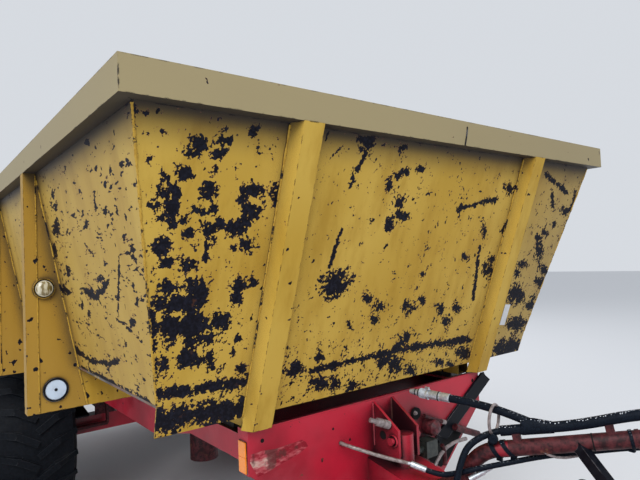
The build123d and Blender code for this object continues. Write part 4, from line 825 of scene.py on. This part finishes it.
def front_wall_skin():
    """The front plate, finely divided on its outer face."""
    levels = spread(FOOT_LEVEL, FLOOR_LEVEL, FLAKE_STEP)[:-1] + spread(FLOOR_LEVEL, RIM_BOTTOM, FLAKE_STEP)
    shares = spread(-1.0, 1.0, FLAKE_STEP / TOP_HALF)
    general, by_foot, by_edge, by_chance = FRONT_WEAR
    outer, base = [], []
    for z in levels:
        half = front_half(z)
        foot = math.exp(-(z - FOOT_LEVEL) / FRONT_FOOT_REACH)
        for share in shares:
            place = Vector((front_x(z), share * half, z))
            outer.append(place - Vector((dent(place, 2.3) * (1 - share ** 8), 0, 0)))
            edge = math.exp(-(1 - abs(share)) * half / EDGE_WEAR_REACH)
            chance = noise.noise(place * 1.7)
            base.append(general + by_foot * foot + by_edge * edge + by_chance * chance)

    def behind(point):
        return Vector((front_x(point.z) - WALL_SHEET, point.y, point.z))

    wall_skin("skip_front_wall", "front_wall_skin", "front", outer, base, len(shares), behind, (-1, 0, 0),
              FRONT_MARKS)


def side_wall_skin(node, side, step, marks):
    """A side sheet, finely divided along the bays that the photograph shows."""
    places = spread(SKIP_REAR, NEAR_BAYS_X, FAR_STEP)
    ahead = spread(NEAR_BAYS_X, 0.0, step)[1:]
    general, by_foot, by_edge, by_chance = SIDE_WEAR
    outer, base = [], []
    for z in spread(FLOOR_LEVEL, RIM_BOTTOM, step):
        reach = front_x(z) - WALL_SHEET
        foot = math.exp(-(z - FLOOR_LEVEL) / SIDE_FOOT_REACH)
        stretch = (reach - NEAR_BAYS_X) / -NEAR_BAYS_X
        for x in places + [NEAR_BAYS_X + stretch * (x - NEAR_BAYS_X) for x in ahead]:
            place = Vector((x, side * side_y(z), z))
            outer.append(place - Vector((0, side * dent(place, 1.9), 0)))
            edge = math.exp(-(reach - x) / EDGE_WEAR_REACH)
            chance = noise.noise(place * 1.4)
            base.append(general + by_foot * foot + by_edge * edge + by_chance * chance)

    def behind(point):
        return Vector((point.x, side * (side_y(point.z) - WALL_SHEET), point.z))

    columns = len(places) + len(ahead)
    wall_skin(node, f"{node}_skin", "side", outer, base, columns, behind, (0, -side, 0), marks)


front_wall_skin()
side_wall_skin("skip_side_wall_right", -1, FLAKE_STEP, NEAR_SIDE_MARKS)
side_wall_skin("skip_side_wall_left", 1, FAR_STEP, FAR_SIDE_MARKS)


# Welds

RIB_Y = 0.665
RIB_BASE_HALF = 0.062
SIDE_RIB_X = -1.334
SIDE_RIB_PITCH = 1.150
SIDE_RIB_COUNT = 4
SIDE_RIB_WIDTH = 0.060
SIDE_RIB_EDGE = 0.002
CHANNEL_FOLD = 1.225
RIB_FOOT = 1.135
WELD_LIFT = 0.001
FRONT_WELD_FOOT = FOOT_LEVEL + 0.004
FRONT_WELD_TOP = RIM_BOTTOM - 0.006
RIB_BEAD = 0.004
CORNER_BEAD = 0.005
WALL_WELD_TOP = RIM_BOTTOM - 0.03
SIDE_RIB_WELDS = (
    # half width and height of the bead's foot and of its top, radius
    (side_y(FLOOR_LEVEL) + WELD_LIFT, FLOOR_LEVEL, side_y(WALL_WELD_TOP) + WELD_LIFT, WALL_WELD_TOP, 0.0045),
    (CHANNEL_FOLD + WELD_LIFT, RIB_FOOT + 0.01, CHANNEL_FOLD + WELD_LIFT, RIM_BOTTOM - 0.01, 0.0035),
    (side_y(RIB_FOOT), RIB_FOOT + 0.003, side_y(FLOOR_LEVEL), FLOOR_LEVEL - 0.012, 0.0040),
)


def skip_welds():
    """Beads beside the front ribs, down the front corners and along the side ribs."""
    shape = Shape()
    corner = WALL_SHEET / 2
    for hand in (-1, 1):
        for y in (hand * RIB_Y - RIB_BASE_HALF, hand * RIB_Y + RIB_BASE_HALF):
            shape.weld((front_x(FOOT_LEVEL) + WELD_LIFT, y, FRONT_WELD_FOOT),
                       (front_x(RIM_BOTTOM) + WELD_LIFT, y, FRONT_WELD_TOP), RIB_BEAD)
        foot, top = (hand * (side_y(z) - WELD_LIFT) for z in (FLOOR_LEVEL, RIM_BOTTOM))
        shape.weld((front_x(FLOOR_LEVEL) - corner, foot, FLOOR_LEVEL),
                   (front_x(RIM_BOTTOM) - corner, top, FRONT_WELD_TOP), CORNER_BEAD)
        for i in range(SIDE_RIB_COUNT):
            front = SIDE_RIB_X - i * SIDE_RIB_PITCH
            for x in (front - SIDE_RIB_EDGE, front - SIDE_RIB_WIDTH + SIDE_RIB_EDGE):
                for y0, z0, y1, z1, radius in SIDE_RIB_WELDS:
                    shape.weld((x, hand * y0, z0), (x, hand * y1, z1), radius)
    make("skip_welds", shape, "bed", "yellow_paint", "weld")


skip_welds()


# Lamps and reflectors

MARKER = (-1.334, 1.200, 1.685)
MARKER_RADIUS = 0.033
MARKER_RING = 0.012
MARKER_DEPTH = 0.022
REFLECTOR = (-1.337, 1.160, 1.230)
REFLECTOR_RADIUS = 0.053
REFLECTOR_DEPTH = 0.010
REFLECTOR_INNER = 0.044
SIDE_LAMP_LOW = Vector((-0.500, 0.699, 0.981))
SIDE_LAMP_HIGH = Vector((-0.446, 0.706, 1.099))
TAIL_LAMP_X = (-5.310, -5.260)
TAIL_LAMP_Y = (0.850, 1.090)
TAIL_LAMP_Z = (0.670, 0.770)
TAIL_LAMP_BASE = 0.018
TAIL_LAMP_SPLIT = 0.150
LAMP_GAP = 0.002
STRIP_PIXELS = [(505.5, 304.5), (510.5, 304.5), (504.5, 325.0), (499.5, 325.0)]
RIM_JOINT_PIXELS = [(467.3, 127.0), (467.0, 131.5), (466.2, 138.0), (465.0, 145.5)]
AHEAD = Vector((1, 0, 0))


def rim_joint():
    """The dark joint where two lengths of the front rail meet."""
    shape = Shape()
    shape.tube([in_plane(pixel, (0, 0, 0), AHEAD) for pixel in RIM_JOINT_PIXELS], 0.0035)
    make("rim_joint", shape, "bed", "yellow_paint", "black")


def bare_strip():
    """A plain white strip stuck on the front wall beside the far rib."""
    normal = Vector((1, 0, -FRONT_SLOPE)).normalized()
    foot = Vector((FRONT_FOOT_X, 0, FOOT_LEVEL)) + normal * 0.001
    shape = Shape()
    shape.plate([in_plane(pixel, foot, normal) for pixel in STRIP_PIXELS], normal * 0.001)
    make("bare_strip", shape, "bed", "yellow_paint", "strip")


def front_lamps():
    """A round marker lamp and a reflector below it on each side, turned from profiles."""
    ring, half = MARKER_RADIUS + MARKER_RING, MARKER_DEPTH / 2
    deep, inner = REFLECTOR_DEPTH, REFLECTOR_INNER
    pieces = (
        # name, slot, finish, middle, profile as distance in front of it and radius
        ("marker_rings", "clear_lens", "grey", MARKER,
         [(0, ring), (half * 0.7, ring), (half, ring - 0.003), (half, MARKER_RADIUS)]),
        ("marker_glass", "clear_lens", "lamp_clear", MARKER,
         [(half * 0.4, MARKER_RADIUS), (half, MARKER_RADIUS), (MARKER_DEPTH * 0.8, MARKER_RADIUS * 0.8),
          (MARKER_DEPTH * 0.96, MARKER_RADIUS * 0.5), (MARKER_DEPTH, 0.004)]),
        ("reflector_rims", "black_steel", "black", REFLECTOR,
         [(0, REFLECTOR_RADIUS), (deep, REFLECTOR_RADIUS), (deep, inner), (deep * 0.5, inner)]),
        ("reflector_discs", "clear_lens", "white", REFLECTOR,
         [(deep * 0.3, inner), (deep * 0.8, inner - 0.001), (deep * 0.85, 0.003)]),
        ("reflector_dots", "black_steel", "black", REFLECTOR, [(deep * 0.5, 0.008), (deep * 0.99, 0.007)]),
    )
    for name, slot, finish, (x, y, z), profile in pieces:
        shape = Shape()
        for hand in (-1, 1):
            shape.turned((x, hand * y, z), AHEAD, profile, 16 if name == "reflector_dots" else 32)
        make(name, shape, "bed", slot, finish, replaces=("front_lamps",))


def road_lamps():
    """Orange reflectors on the cross plate's folded sides, and the two tail lamps with their lenses."""
    bases, amber, red = Shape(), Shape(), Shape()
    low, high, gap = SIDE_LAMP_LOW, SIDE_LAMP_HIGH, LAMP_GAP
    middle = (low.z + high.z) / 2
    lip = TAIL_LAMP_X[1] - TAIL_LAMP_BASE
    inner, outer = TAIL_LAMP_Y
    split = inner + TAIL_LAMP_SPLIT
    foot, top = TAIL_LAMP_Z[0] + gap, TAIL_LAMP_Z[1] - gap
    for hand in (-1, 1):
        bases.block((low.x, hand * low.y, low.z), (high.x, hand * (low.y + gap), high.z))
        for z0, z1 in ((low.z + gap, middle - gap / 2), (middle + gap / 2, high.z - gap)):
            amber.block((low.x + gap, hand * (low.y + gap), z0), (high.x - gap, hand * high.y, z1))
        bases.block((lip, hand * inner, TAIL_LAMP_Z[0]), (TAIL_LAMP_X[1], hand * outer, TAIL_LAMP_Z[1]))
        for shape, y0, y1 in ((red, inner + gap, split - gap / 2), (amber, split + gap / 2, outer - gap)):
            shape.block((TAIL_LAMP_X[0], hand * y0, foot), (lip, hand * y1, top))
    for name, shape, slot, finish in (("road_lamp_bases", bases, "black_steel", "black"),
                                      ("road_lamp_orange", amber, "red_lens", "orange"),
                                      ("road_lamp_red", red, "red_lens", "lamp_red")):
        make(name, shape, "chassis", slot, finish, replaces=("road_lamps",))


# Running gear

AXLES_X = (-3.100, -4.500)
WHEEL_Y = 1.025
AXLE_LEVEL = 0.585
WHEEL_NUTS = (
    # count, first's share of a step, radius of the ring, distance out from the wheel, width across, height
    (10, 0.5, 0.1175, 0.020, 0.030, 0.022),
    (5, 0.0, 0.062, 0.110, 0.016, 0.008),
)
SPRING_Y = 0.633
SPRING_HALF = 0.045
AXLE_HALF = 0.060
SPRING_SEAT = 0.018
LEAF_CAMBER = 0.060
LEAF_STACK = 7 * 0.012
LEAF_TOP = AXLE_LEVEL + AXLE_HALF + SPRING_SEAT + LEAF_CAMBER + LEAF_STACK
BOLT_ROD = 0.008
BOLT_BEND = 0.012
BOLT_REACH = 0.070
BOLT_FOOT = LEAF_TOP - 0.115
BOLT_TOP = LEAF_TOP + 0.006
PLATE_LIFT = 0.016
PLATE_HALF = 0.016
PLATE_MARGIN = 0.014
PLATE_SHEET = 0.012


def wheel_nuts():
    for axle, x in zip(("front", "rear"), AXLES_X):
        for name, hand in (("left", 1), ("right", -1)):
            shape = Shape()
            for count, first, ring, out, across, height in WHEEL_NUTS:
                middle = Vector((x, hand * (WHEEL_Y + out), AXLE_LEVEL))
                for place in circle(middle, Vector((ring, 0, 0)), Vector((0, 0, ring)), count, first):
                    shape.nut(place, (0, hand, 0), across, height)
            make(f"wheel_nuts_{axle}_{name}", shape, f"wheel_{axle}_{name}", "wheel_paint", "steel")


def spring_bolts():
    """Two U-bolts over the saddle of each spring, with a plate and nuts under its leaves."""
    shape = Shape()
    middle = sum(AXLES_X) / 2
    half = SPRING_HALF + BOLT_BEND
    shoulder, seat = BOLT_TOP - BOLT_BEND, BOLT_FOOT + PLATE_LIFT
    for hand in (-1, 1):
        for x in (middle - BOLT_REACH, middle + BOLT_REACH):
            y0, y1 = hand * SPRING_Y - half, hand * SPRING_Y + half
            shape.tube([(x, y0, BOLT_FOOT), (x, y0, shoulder), (x, y0 + BOLT_BEND, BOLT_TOP),
                        (x, y1 - BOLT_BEND, BOLT_TOP), (x, y1, shoulder), (x, y1, BOLT_FOOT)], BOLT_ROD)
            for y in (y0, y1):
                shape.nut((x, y, seat), (0, 0, -1), 0.024, 0.016)
            shape.block((x - PLATE_HALF, y0 - PLATE_MARGIN, seat),
                        (x + PLATE_HALF, y1 + PLATE_MARGIN, seat + PLATE_SHEET))
    make("spring_bolts", shape, "chassis", "black_steel", "steel")


# Drawbar, bolster and jack

BOLSTER_X = -0.436
BOLSTER_SKIN = 0.0006
EYE_FLANGE_X = 1.142
EYE_LEVEL = 0.52436
EYE_FLANGE_REACH = 0.067
CLAMP_OUT = (0.070, 0.056, 0.084)
CLAMP_LEVELS = (0.62, 0.70)
JACK_X = 0.640
JACK_Y = -0.200
JACK_TOP = 1.030
CRANK_ROOT = 0.036
CRANK_REACH = 0.16
GRIP_RISE = 0.04
BOLSTER_WELD = (0.690, 1.1405)
EAR_Y = 0.057
EAR_WELD_OUT = 0.0075
EAR_WELD_Z = (0.94, 1.125)
EAR_FACE_Y = 0.064
EAR_PIN = (-0.318, 0.985)
PIN_RING = 0.023
# Pieces on the cross plate's face and its near ear, by their places in the photograph
BOLSTER_HOLES = [
    # u, v, radius in metres
    (262.0, 440.6, 0.0080), (332.8, 428.8, 0.0055), (349.6, 439.4, 0.0055), (472.0, 380.5, 0.0090),
]
SCRAPE_OUTLINE = [(251, 455), (262, 451), (276, 449), (290, 444), (302, 440), (306, 442), (308, 446),
                  (300, 453), (290, 459), (277, 466), (268, 472), (258, 477), (254, 470), (250, 463)]
SPRING_BOLT_PIXEL = (389, 425)
SPRING_BOLT_TIP_PIXEL = (370, 420)
LOCK_NUT_PIXEL = (415, 413)
EAR_SLOT_PIXEL = (383, 435)
# The dark sheet behind the valve and the lower pipes: painted shade, with the black of the parts there
DRAWBAR_SHADE_OUTLINE = [(425, 455), (431, 462), (441, 467), (447, 462), (453, 450), (459, 438), (462, 431),
                   (455, 427), (444, 434), (432, 444)]


def on_bolster(pixel, proud=0.0):
    """A place on the front face of the red cross plate."""
    return in_plane(pixel, (BOLSTER_X + proud, 0, 0), AHEAD)


def on_ear(pixel, proud=0.0):
    """A place on the outer face of the near ear."""
    return in_plane(pixel, (0, -EAR_FACE_Y - proud, 0), (0, 1, 0))


def drawbar_bolts():
    """Bolts of the towing eye's flange and the jack's clamp, and the jack's crank with its grip."""
    shape = Shape()
    for y in (-EYE_FLANGE_REACH, EYE_FLANGE_REACH):
        for z in (-EYE_FLANGE_REACH, EYE_FLANGE_REACH):
            shape.nut((EYE_FLANGE_X, y, EYE_LEVEL + z), AHEAD, 0.027, 0.018)
    forward, near, far = CLAMP_OUT
    for z in CLAMP_LEVELS:
        for y in (JACK_Y + near, JACK_Y + far):
            shape.nut((JACK_X + forward, y, z), AHEAD, 0.018, 0.012)
    shape.turned((JACK_X, JACK_Y, JACK_TOP), (0, 0, 1),
                 [(0, 0.024), (0.020, 0.024), (0.026, 0.014), (0.048, 0.014)])
    top = JACK_TOP + CRANK_ROOT
    # distance out from the jack, height over the crank's root
    crank = ((0, 0), (0.05, 0), (0.15, 0.01), (CRANK_REACH, 0.03), (CRANK_REACH, 0.10))
    shape.tube([(JACK_X, JACK_Y - out, top + up) for out, up in crank], 0.009, 12)
    make("drawbar_bolts", shape, "chassis", "bare_steel", "steel")
    grip = Shape()
    grip.turned((JACK_X, JACK_Y - CRANK_REACH, top + GRIP_RISE), (0, 0, 1),
                [(0, 0.012), (0.004, 0.014), (0.075, 0.014), (0.080, 0.010)])
    make("jack_grip", grip, "chassis", "hose_rubber", "pad")


def bolster_face():
    """Holes and a scraped patch in the cross plate, and the welds of its ears and upper edge."""
    holes = Shape()
    # Each hole is a near-black disc: painted shade inside it
    for u, v, radius in BOLSTER_HOLES:
        holes.turned(on_bolster((u, v), -0.002), AHEAD, [(0, radius), (0.002 + BOLSTER_SKIN, radius)], 16)
    make("bolster_holes", holes, "chassis", "black_steel", "dark")
    scrape = Shape()
    scrape.plate([on_bolster(pixel, BOLSTER_SKIN) for pixel in SCRAPE_OUTLINE], AHEAD * BOLSTER_SKIN)
    make("bolster_scrape", scrape, "chassis", "red_paint", "scrape")
    welds = Shape()
    foot, top = EAR_WELD_Z
    for y in (-EAR_Y, EAR_Y):
        for side in (y - EAR_WELD_OUT, y + EAR_WELD_OUT):
            welds.weld((BOLSTER_X, side, foot), (BOLSTER_X, side, top), 0.006)
    half, level = BOLSTER_WELD
    welds.weld((BOLSTER_X, -half, level), (BOLSTER_X, half, level), 0.003)
    make("bolster_welds", welds, "chassis", "red_paint", "red")


def ear_details():
    """Welded rings round the strut's pin, the bolts beside it, and near-black discs and a sheet on the plate
    and ear: painted shade in its openings.
    """
    rings = Shape()
    for hand in (-1, 1):
        middle = Vector((EAR_PIN[0], hand * (EAR_FACE_Y + 0.003), EAR_PIN[1]))
        ring = circle(middle, Vector((PIN_RING, 0, 0)), Vector((0, 0, PIN_RING)), 24)
        rings.tube(ring, 0.0045, closed=True)
    make("strut_pin_rings", rings, "chassis", "red_paint", "red")
    steel = Shape()
    place, tip = on_ear(SPRING_BOLT_PIXEL), on_ear(SPRING_BOLT_TIP_PIXEL, 0.085)
    # share of the bolt's length, radius
    profile = ((0, 0.018), (0.30, 0.018), (0.30, 0.014), (0.38, 0.014), (0.38, 0.018), (0.66, 0.017),
               (0.66, 0.010), (1, 0.010))
    steel.turned(place, tip - place, [((tip - place).length * share, radius) for share, radius in profile])
    steel.nut(on_bolster(LOCK_NUT_PIXEL, 0.012), AHEAD, 0.014, 0.010)
    make("ear_bolts", steel, "chassis", "bare_steel", "fittings_dull")
    # Painted shade: near-black discs in the openings by the lock nut and in the ear, and the dark sheet
    # behind the valve
    dark = Shape()
    dark.turned(on_bolster(LOCK_NUT_PIXEL), AHEAD, [(0, 0.027), (0.012, 0.027)], 24)
    dark.turned(on_ear(EAR_SLOT_PIXEL), (0, -1, 0), [(0, 0.019), (BOLSTER_SKIN, 0.019)])
    dark.plate([on_bolster(pixel, BOLSTER_SKIN) for pixel in DRAWBAR_SHADE_OUTLINE], AHEAD * BOLSTER_SKIN)
    make("plate_painted_shade", dark, "chassis", "black_steel", "dark")


# Fittings on the hoses and the valves

VALVE_FRONT_X = -0.376
ARM_LINE = ((0.006, 0.119, 0.983), (0.483, 0.367, 1.082))
ARM_RADIUS = 0.031
LOOSE_COUPLER = (0.000, 0.080, 0.880)
COUPLER_RINGS = (
    # distance along the coupler, radius
    (0.002, 0.0205), (0.096, 0.0170), (0.113, 0.0140),
)
FERRULE_BACK = 0.046
KNURLS_FROM = 0.064
KNURL_PITCH = 0.0042
KNURL_COUNT = 7
LEVER_ALONG = 0.056
LEVER_PLACE = Vector((0, -0.004, 0.022))
RING_ACROSS = 0.052
RING_UP = 0.056
COUPLER_PIXELS = [(469.5, 479.5), (484, 471.5), (491.5, 467.3)]
STRAP_PIXELS = [(542, 450), (548, 454.5), (556, 457.3), (566, 457.8), (578, 456), (588, 452.5), (592, 448)]
KNOB_PIXEL = (495, 438)
RING_PIXEL = (494, 419)
TIES = (
    # share of the way along the arm, how far it leans, width
    (0.075, 0.45, 0.017), (0.165, 0.60, 0.017), (0.95, 0.0, 0.012),
)


def along_arm(share):
    start, end = (Vector(point) for point in ARM_LINE)
    return start.lerp(end, share), (end - start).normalized()


def band_around(shape, share, gap, width, thickness, lean=0.0):
    """A flat band around the arm, leaning along it from top to bottom."""
    centre, axis = along_arm(share)
    up = (Vector((0, 0, 1)) - axis * axis.z).normalized()
    side = axis.cross(up)
    radius = ARM_RADIUS + gap
    rings = []
    for spoke in circle(Vector(), side, up, 36):
        middle = centre - axis * (lean * spoke.dot(up) * radius)
        rings.append([middle + spoke * (radius + lift) + axis * (shift * width / 2)
                      for lift, shift in ((0, -1), (0, 1), (thickness, 1), (thickness, -1))])
    shape.skin(rings, closed=True)


def arm_band(name, finish, share, gap, width, thickness):
    shape = Shape()
    band_around(shape, share, gap, width, thickness)
    make(name, shape, "chassis", "oxide_red", finish)


def arm_details():
    """Cable ties with their heads, the arm's joint, collar and red patch, and what hangs on it."""
    ahead = camera_axes()[2]
    ties = Shape()
    for share, lean, width in TIES:
        centre, axis = along_arm(share)
        band_around(ties, share, 0.0003, width, 0.003, lean)
        head = centre - Vector((0, 0, ARM_RADIUS + 0.006)) + axis * (lean * ARM_RADIUS)
        ties.block(head - Vector((0.010, 0.007, 0.007)), head + Vector((0.010, 0.007, 0.004)))
    make("arm_ties", ties, "chassis", "hose_rubber", "hose")
    arm_band("arm_joint", "dark", 0.72, 0.0002, 0.005, 0.0012)
    strap = Shape()
    strap.tube([in_plane(pixel, along_arm(0.5)[0], ahead) for pixel in STRAP_PIXELS], 0.0050)
    make("arm_strap", strap, "chassis", "pad_rubber", "fittings_dull")
    arm_band("arm_collar", "brown", 0.99, 0.0, 0.014, 0.003)
    arm_band("arm_red_patch", "red", 0.128, 0.0, 0.050, 0.0005)
    spare = Shape()
    path = [in_plane(pixel, LOOSE_COUPLER, ahead) for pixel in COUPLER_PIXELS]
    spare.rod(path[0], path[1], 0.0115)
    spare.rod(path[1], path[2], 0.0090)
    make("loose_coupler", spare, "chassis", "bare_steel", "silver")
    knob = Shape()
    place = in_plane(KNOB_PIXEL, (0.15, 0.155, 1.0), (0.27, -0.96, 0))
    knob.turned(place, (0.27, -0.9, 0.1), [(0, 0.010), (0.012, 0.010), (0.014, 0.018), (0.030, 0.019),
                                          (0.036, 0.014)], 24)
    make("arm_knob", knob, "chassis", "hose_rubber", "hose")


def coupler_details():
    """Rings, ferrule, knurls and lever of the coupler at the feed hose's end."""
    start = Vector(FEED_POINTS[-1])
    axis = (start - Vector(FEED_POINTS[-2])).normalized()
    rings, ferrule, knurls, lever = Shape(), Shape(), Shape(), Shape()
    for distance, radius in COUPLER_RINGS:
        rings.turned(start + axis * distance, axis, [(0, radius), (0.005, radius)], 24)
    make("coupler_rings", rings, "chassis", "hose_rubber", "pad")
    ferrule.turned(start - axis * FERRULE_BACK, axis,
                   [(0, 0.0165), (0.002, 0.0183), (0.034, 0.0186), (0.036, 0.0176), (0.046, 0.0176)], 24)
    make("feed_ferrule", ferrule, "chassis", "bare_steel", "silver")
    for i in range(KNURL_COUNT):
        knurls.turned(start + axis * (KNURLS_FROM + KNURL_PITCH * i), axis,
                      [(0, 0.0203), (0.0015, 0.0218), (0.003, 0.0203)], 24)
    make("coupler_knurls", knurls, "chassis", "bare_steel", "silver")
    foot = start + axis * LEVER_ALONG + LEVER_PLACE
    lever.block(foot - Vector((0.010, 0.004, 0.002)), foot + Vector((0.010, 0.004, 0.010)))
    make("coupler_lever", lever, "chassis", "bare_steel", "silver")


STAY_PIXELS = [(482.5, 372.5), (490.0, 379.3), (447.0, 439.5), (437.5, 435.0)]
STAY_SHEET = 0.012


def wide_stay():
    """The flat bar in front of the valves, at its full width."""
    shape = Shape()
    shape.plate([on_bolster(pixel, STAY_SHEET) for pixel in STAY_PIXELS], AHEAD * STAY_SHEET)
    make("wide_stay", shape, "chassis", "black_steel", "black")


WRAP_HALF = 0.0225
WRAP_SECTIONS = (
    # distance along the sleeve from its second point, height over its middle
    (-0.012, 0.0215), (-0.008, 0.038), (0.006, 0.041), (0.022, 0.041), (0.040, 0.039), (0.062, 0.033),
    (0.085, 0.026), (0.100, 0.0225), (0.104, 0.0215),
)


def sleeve_wrap():
    """Tape wound round the sleeve where the feed hose enters it, and a steel ring hung on the hose."""
    wrap = Shape()
    start, end = Vector(SLEEVE_POINTS[1]), Vector(SLEEVE_POINTS[2])
    axis = (end - start).normalized()
    side = axis.cross(Vector((0, 0, 1))).normalized()
    up = side.cross(axis)
    rings = []
    for distance, height in WRAP_SECTIONS:
        middle = start + axis * distance
        upper = circle(middle, side * WRAP_HALF, up * height, 24)
        lower = circle(middle, side * WRAP_HALF, up * WRAP_HALF, 24)
        rings.append([a if (a - middle).dot(up) > 0 else b for a, b in zip(upper, lower)])
    wrap.skin(rings)
    make("sleeve_wrap", wrap, "chassis", "hose_rubber", "sleeve")
    ring = Shape()
    right, rise, ahead = camera_axes()
    across = (0.62 * right + 0.78 * ahead).normalized()
    centre = in_plane(RING_PIXEL, FEED_POINTS[1], ahead)
    ring.tube(circle(centre, across * RING_ACROSS, rise * RING_UP, 40), 0.0060, closed=True)
    make("hose_ring", ring, "chassis", "bare_steel", "fittings_dull")


VALVE_REACH = VALVE_FRONT_X - BOLSTER_X
PIPES = (
    # finish, distance in front of the plate, radius, pixels along the pipe
    ("brown", VALVE_REACH - 0.02, 0.0100, ((442, 445), (444, 450), (445, 457), (445, 465))),
    ("brown", 0.03, 0.0100, ((424, 416), (433, 419), (442, 421.6))),
    ("brown", 0.03, 0.0170, ((455, 427), (464, 430), (478, 434))),
    ("fittings_dull", 0.03, 0.0115, ((441.5, 421.4), (445, 422.2))),
    ("fittings_dull", 0.04, 0.0085,
     ((435, 467), (437, 461), (441, 454), (447, 447), (454, 442.5), (459, 440.5))),
    ("fittings_dull", 0.04, 0.0095, ((459, 440.5), (466, 438.6))),
    ("fittings_dull", VALVE_REACH - 0.03, 0.0160, ((410.5, 441.5), (414, 442.5))),
)


def valve_pipes():
    for name, slot, finish in (("valve_pipes", "oxide_red", "brown"),
                               ("valve_unions", "bare_steel", "fittings_dull")):
        shape = Shape()
        for kind, proud, radius, pixels in PIPES:
            if kind == finish:
                shape.tube([on_bolster(pixel, proud) for pixel in pixels], radius, 12)
        make(name, shape, "chassis", slot, finish)


rim_joint()
bare_strip()
front_lamps()
road_lamps()
wheel_nuts()
spring_bolts()
drawbar_bolts()
bolster_face()
ear_details()
arm_details()
coupler_details()
wide_stay()
sleeve_wrap()
valve_pipes()


# Studio

def area_lamp(name, place, aim, size, power):
    data = bpy.data.lights.new(name, "AREA")
    data.shape = "SQUARE"
    data.size = size
    data.energy = power
    lamp = bpy.data.objects.new(name, data)
    lamp.location = place
    lamp.rotation_euler = (aim - place).to_track_quat("-Z", "Y").to_euler()
    bpy.context.scene.collection.objects.link(lamp)


WORLD_LEVEL = 0.75
WORLD_COLOUR = (0.90, 0.94, 1.0)
GROUND_COLOUR = (0.66, 0.67, 0.69)
GROUND_REACH = 40.0
LAMP_SIZE = 7.0
KEY_PLACE = Vector((7.0, -5.6, 7.6))
KEY_POWER = 830
FILL_PLACE = Vector((-7.0, 6.0, 8.0))
FILL_POWER = 450


def make_studio():
    scene = bpy.context.scene
    scene.view_settings.view_transform = "Standard"
    world = bpy.data.worlds.new("studio")
    world.use_nodes = True
    scene.world = world
    back = world.node_tree.nodes["Background"]
    back.inputs["Color"].default_value = (*WORLD_COLOUR, 1.0)
    back.inputs["Strength"].default_value = WORLD_LEVEL
    middle = at(-2.5, 0, 1.2)
    area_lamp("key", middle + KEY_PLACE, middle, LAMP_SIZE, KEY_POWER)
    area_lamp("fill", middle + FILL_PLACE, middle, LAMP_SIZE, FILL_POWER)
    mesh = bpy.data.meshes.new("floor")
    corners = ((-1, -1), (1, -1), (1, 1), (-1, 1))
    points = [(x * GROUND_REACH, y * GROUND_REACH, GROUND) for x, y in corners]
    mesh.from_pydata(points, [], [(0, 1, 2, 3)])
    mesh.materials.append(Nodes("floor_grey").finish(GROUND_COLOUR, 0.8))
    floor = bpy.data.objects.new("floor", mesh)
    scene.collection.objects.link(floor)


make_studio()
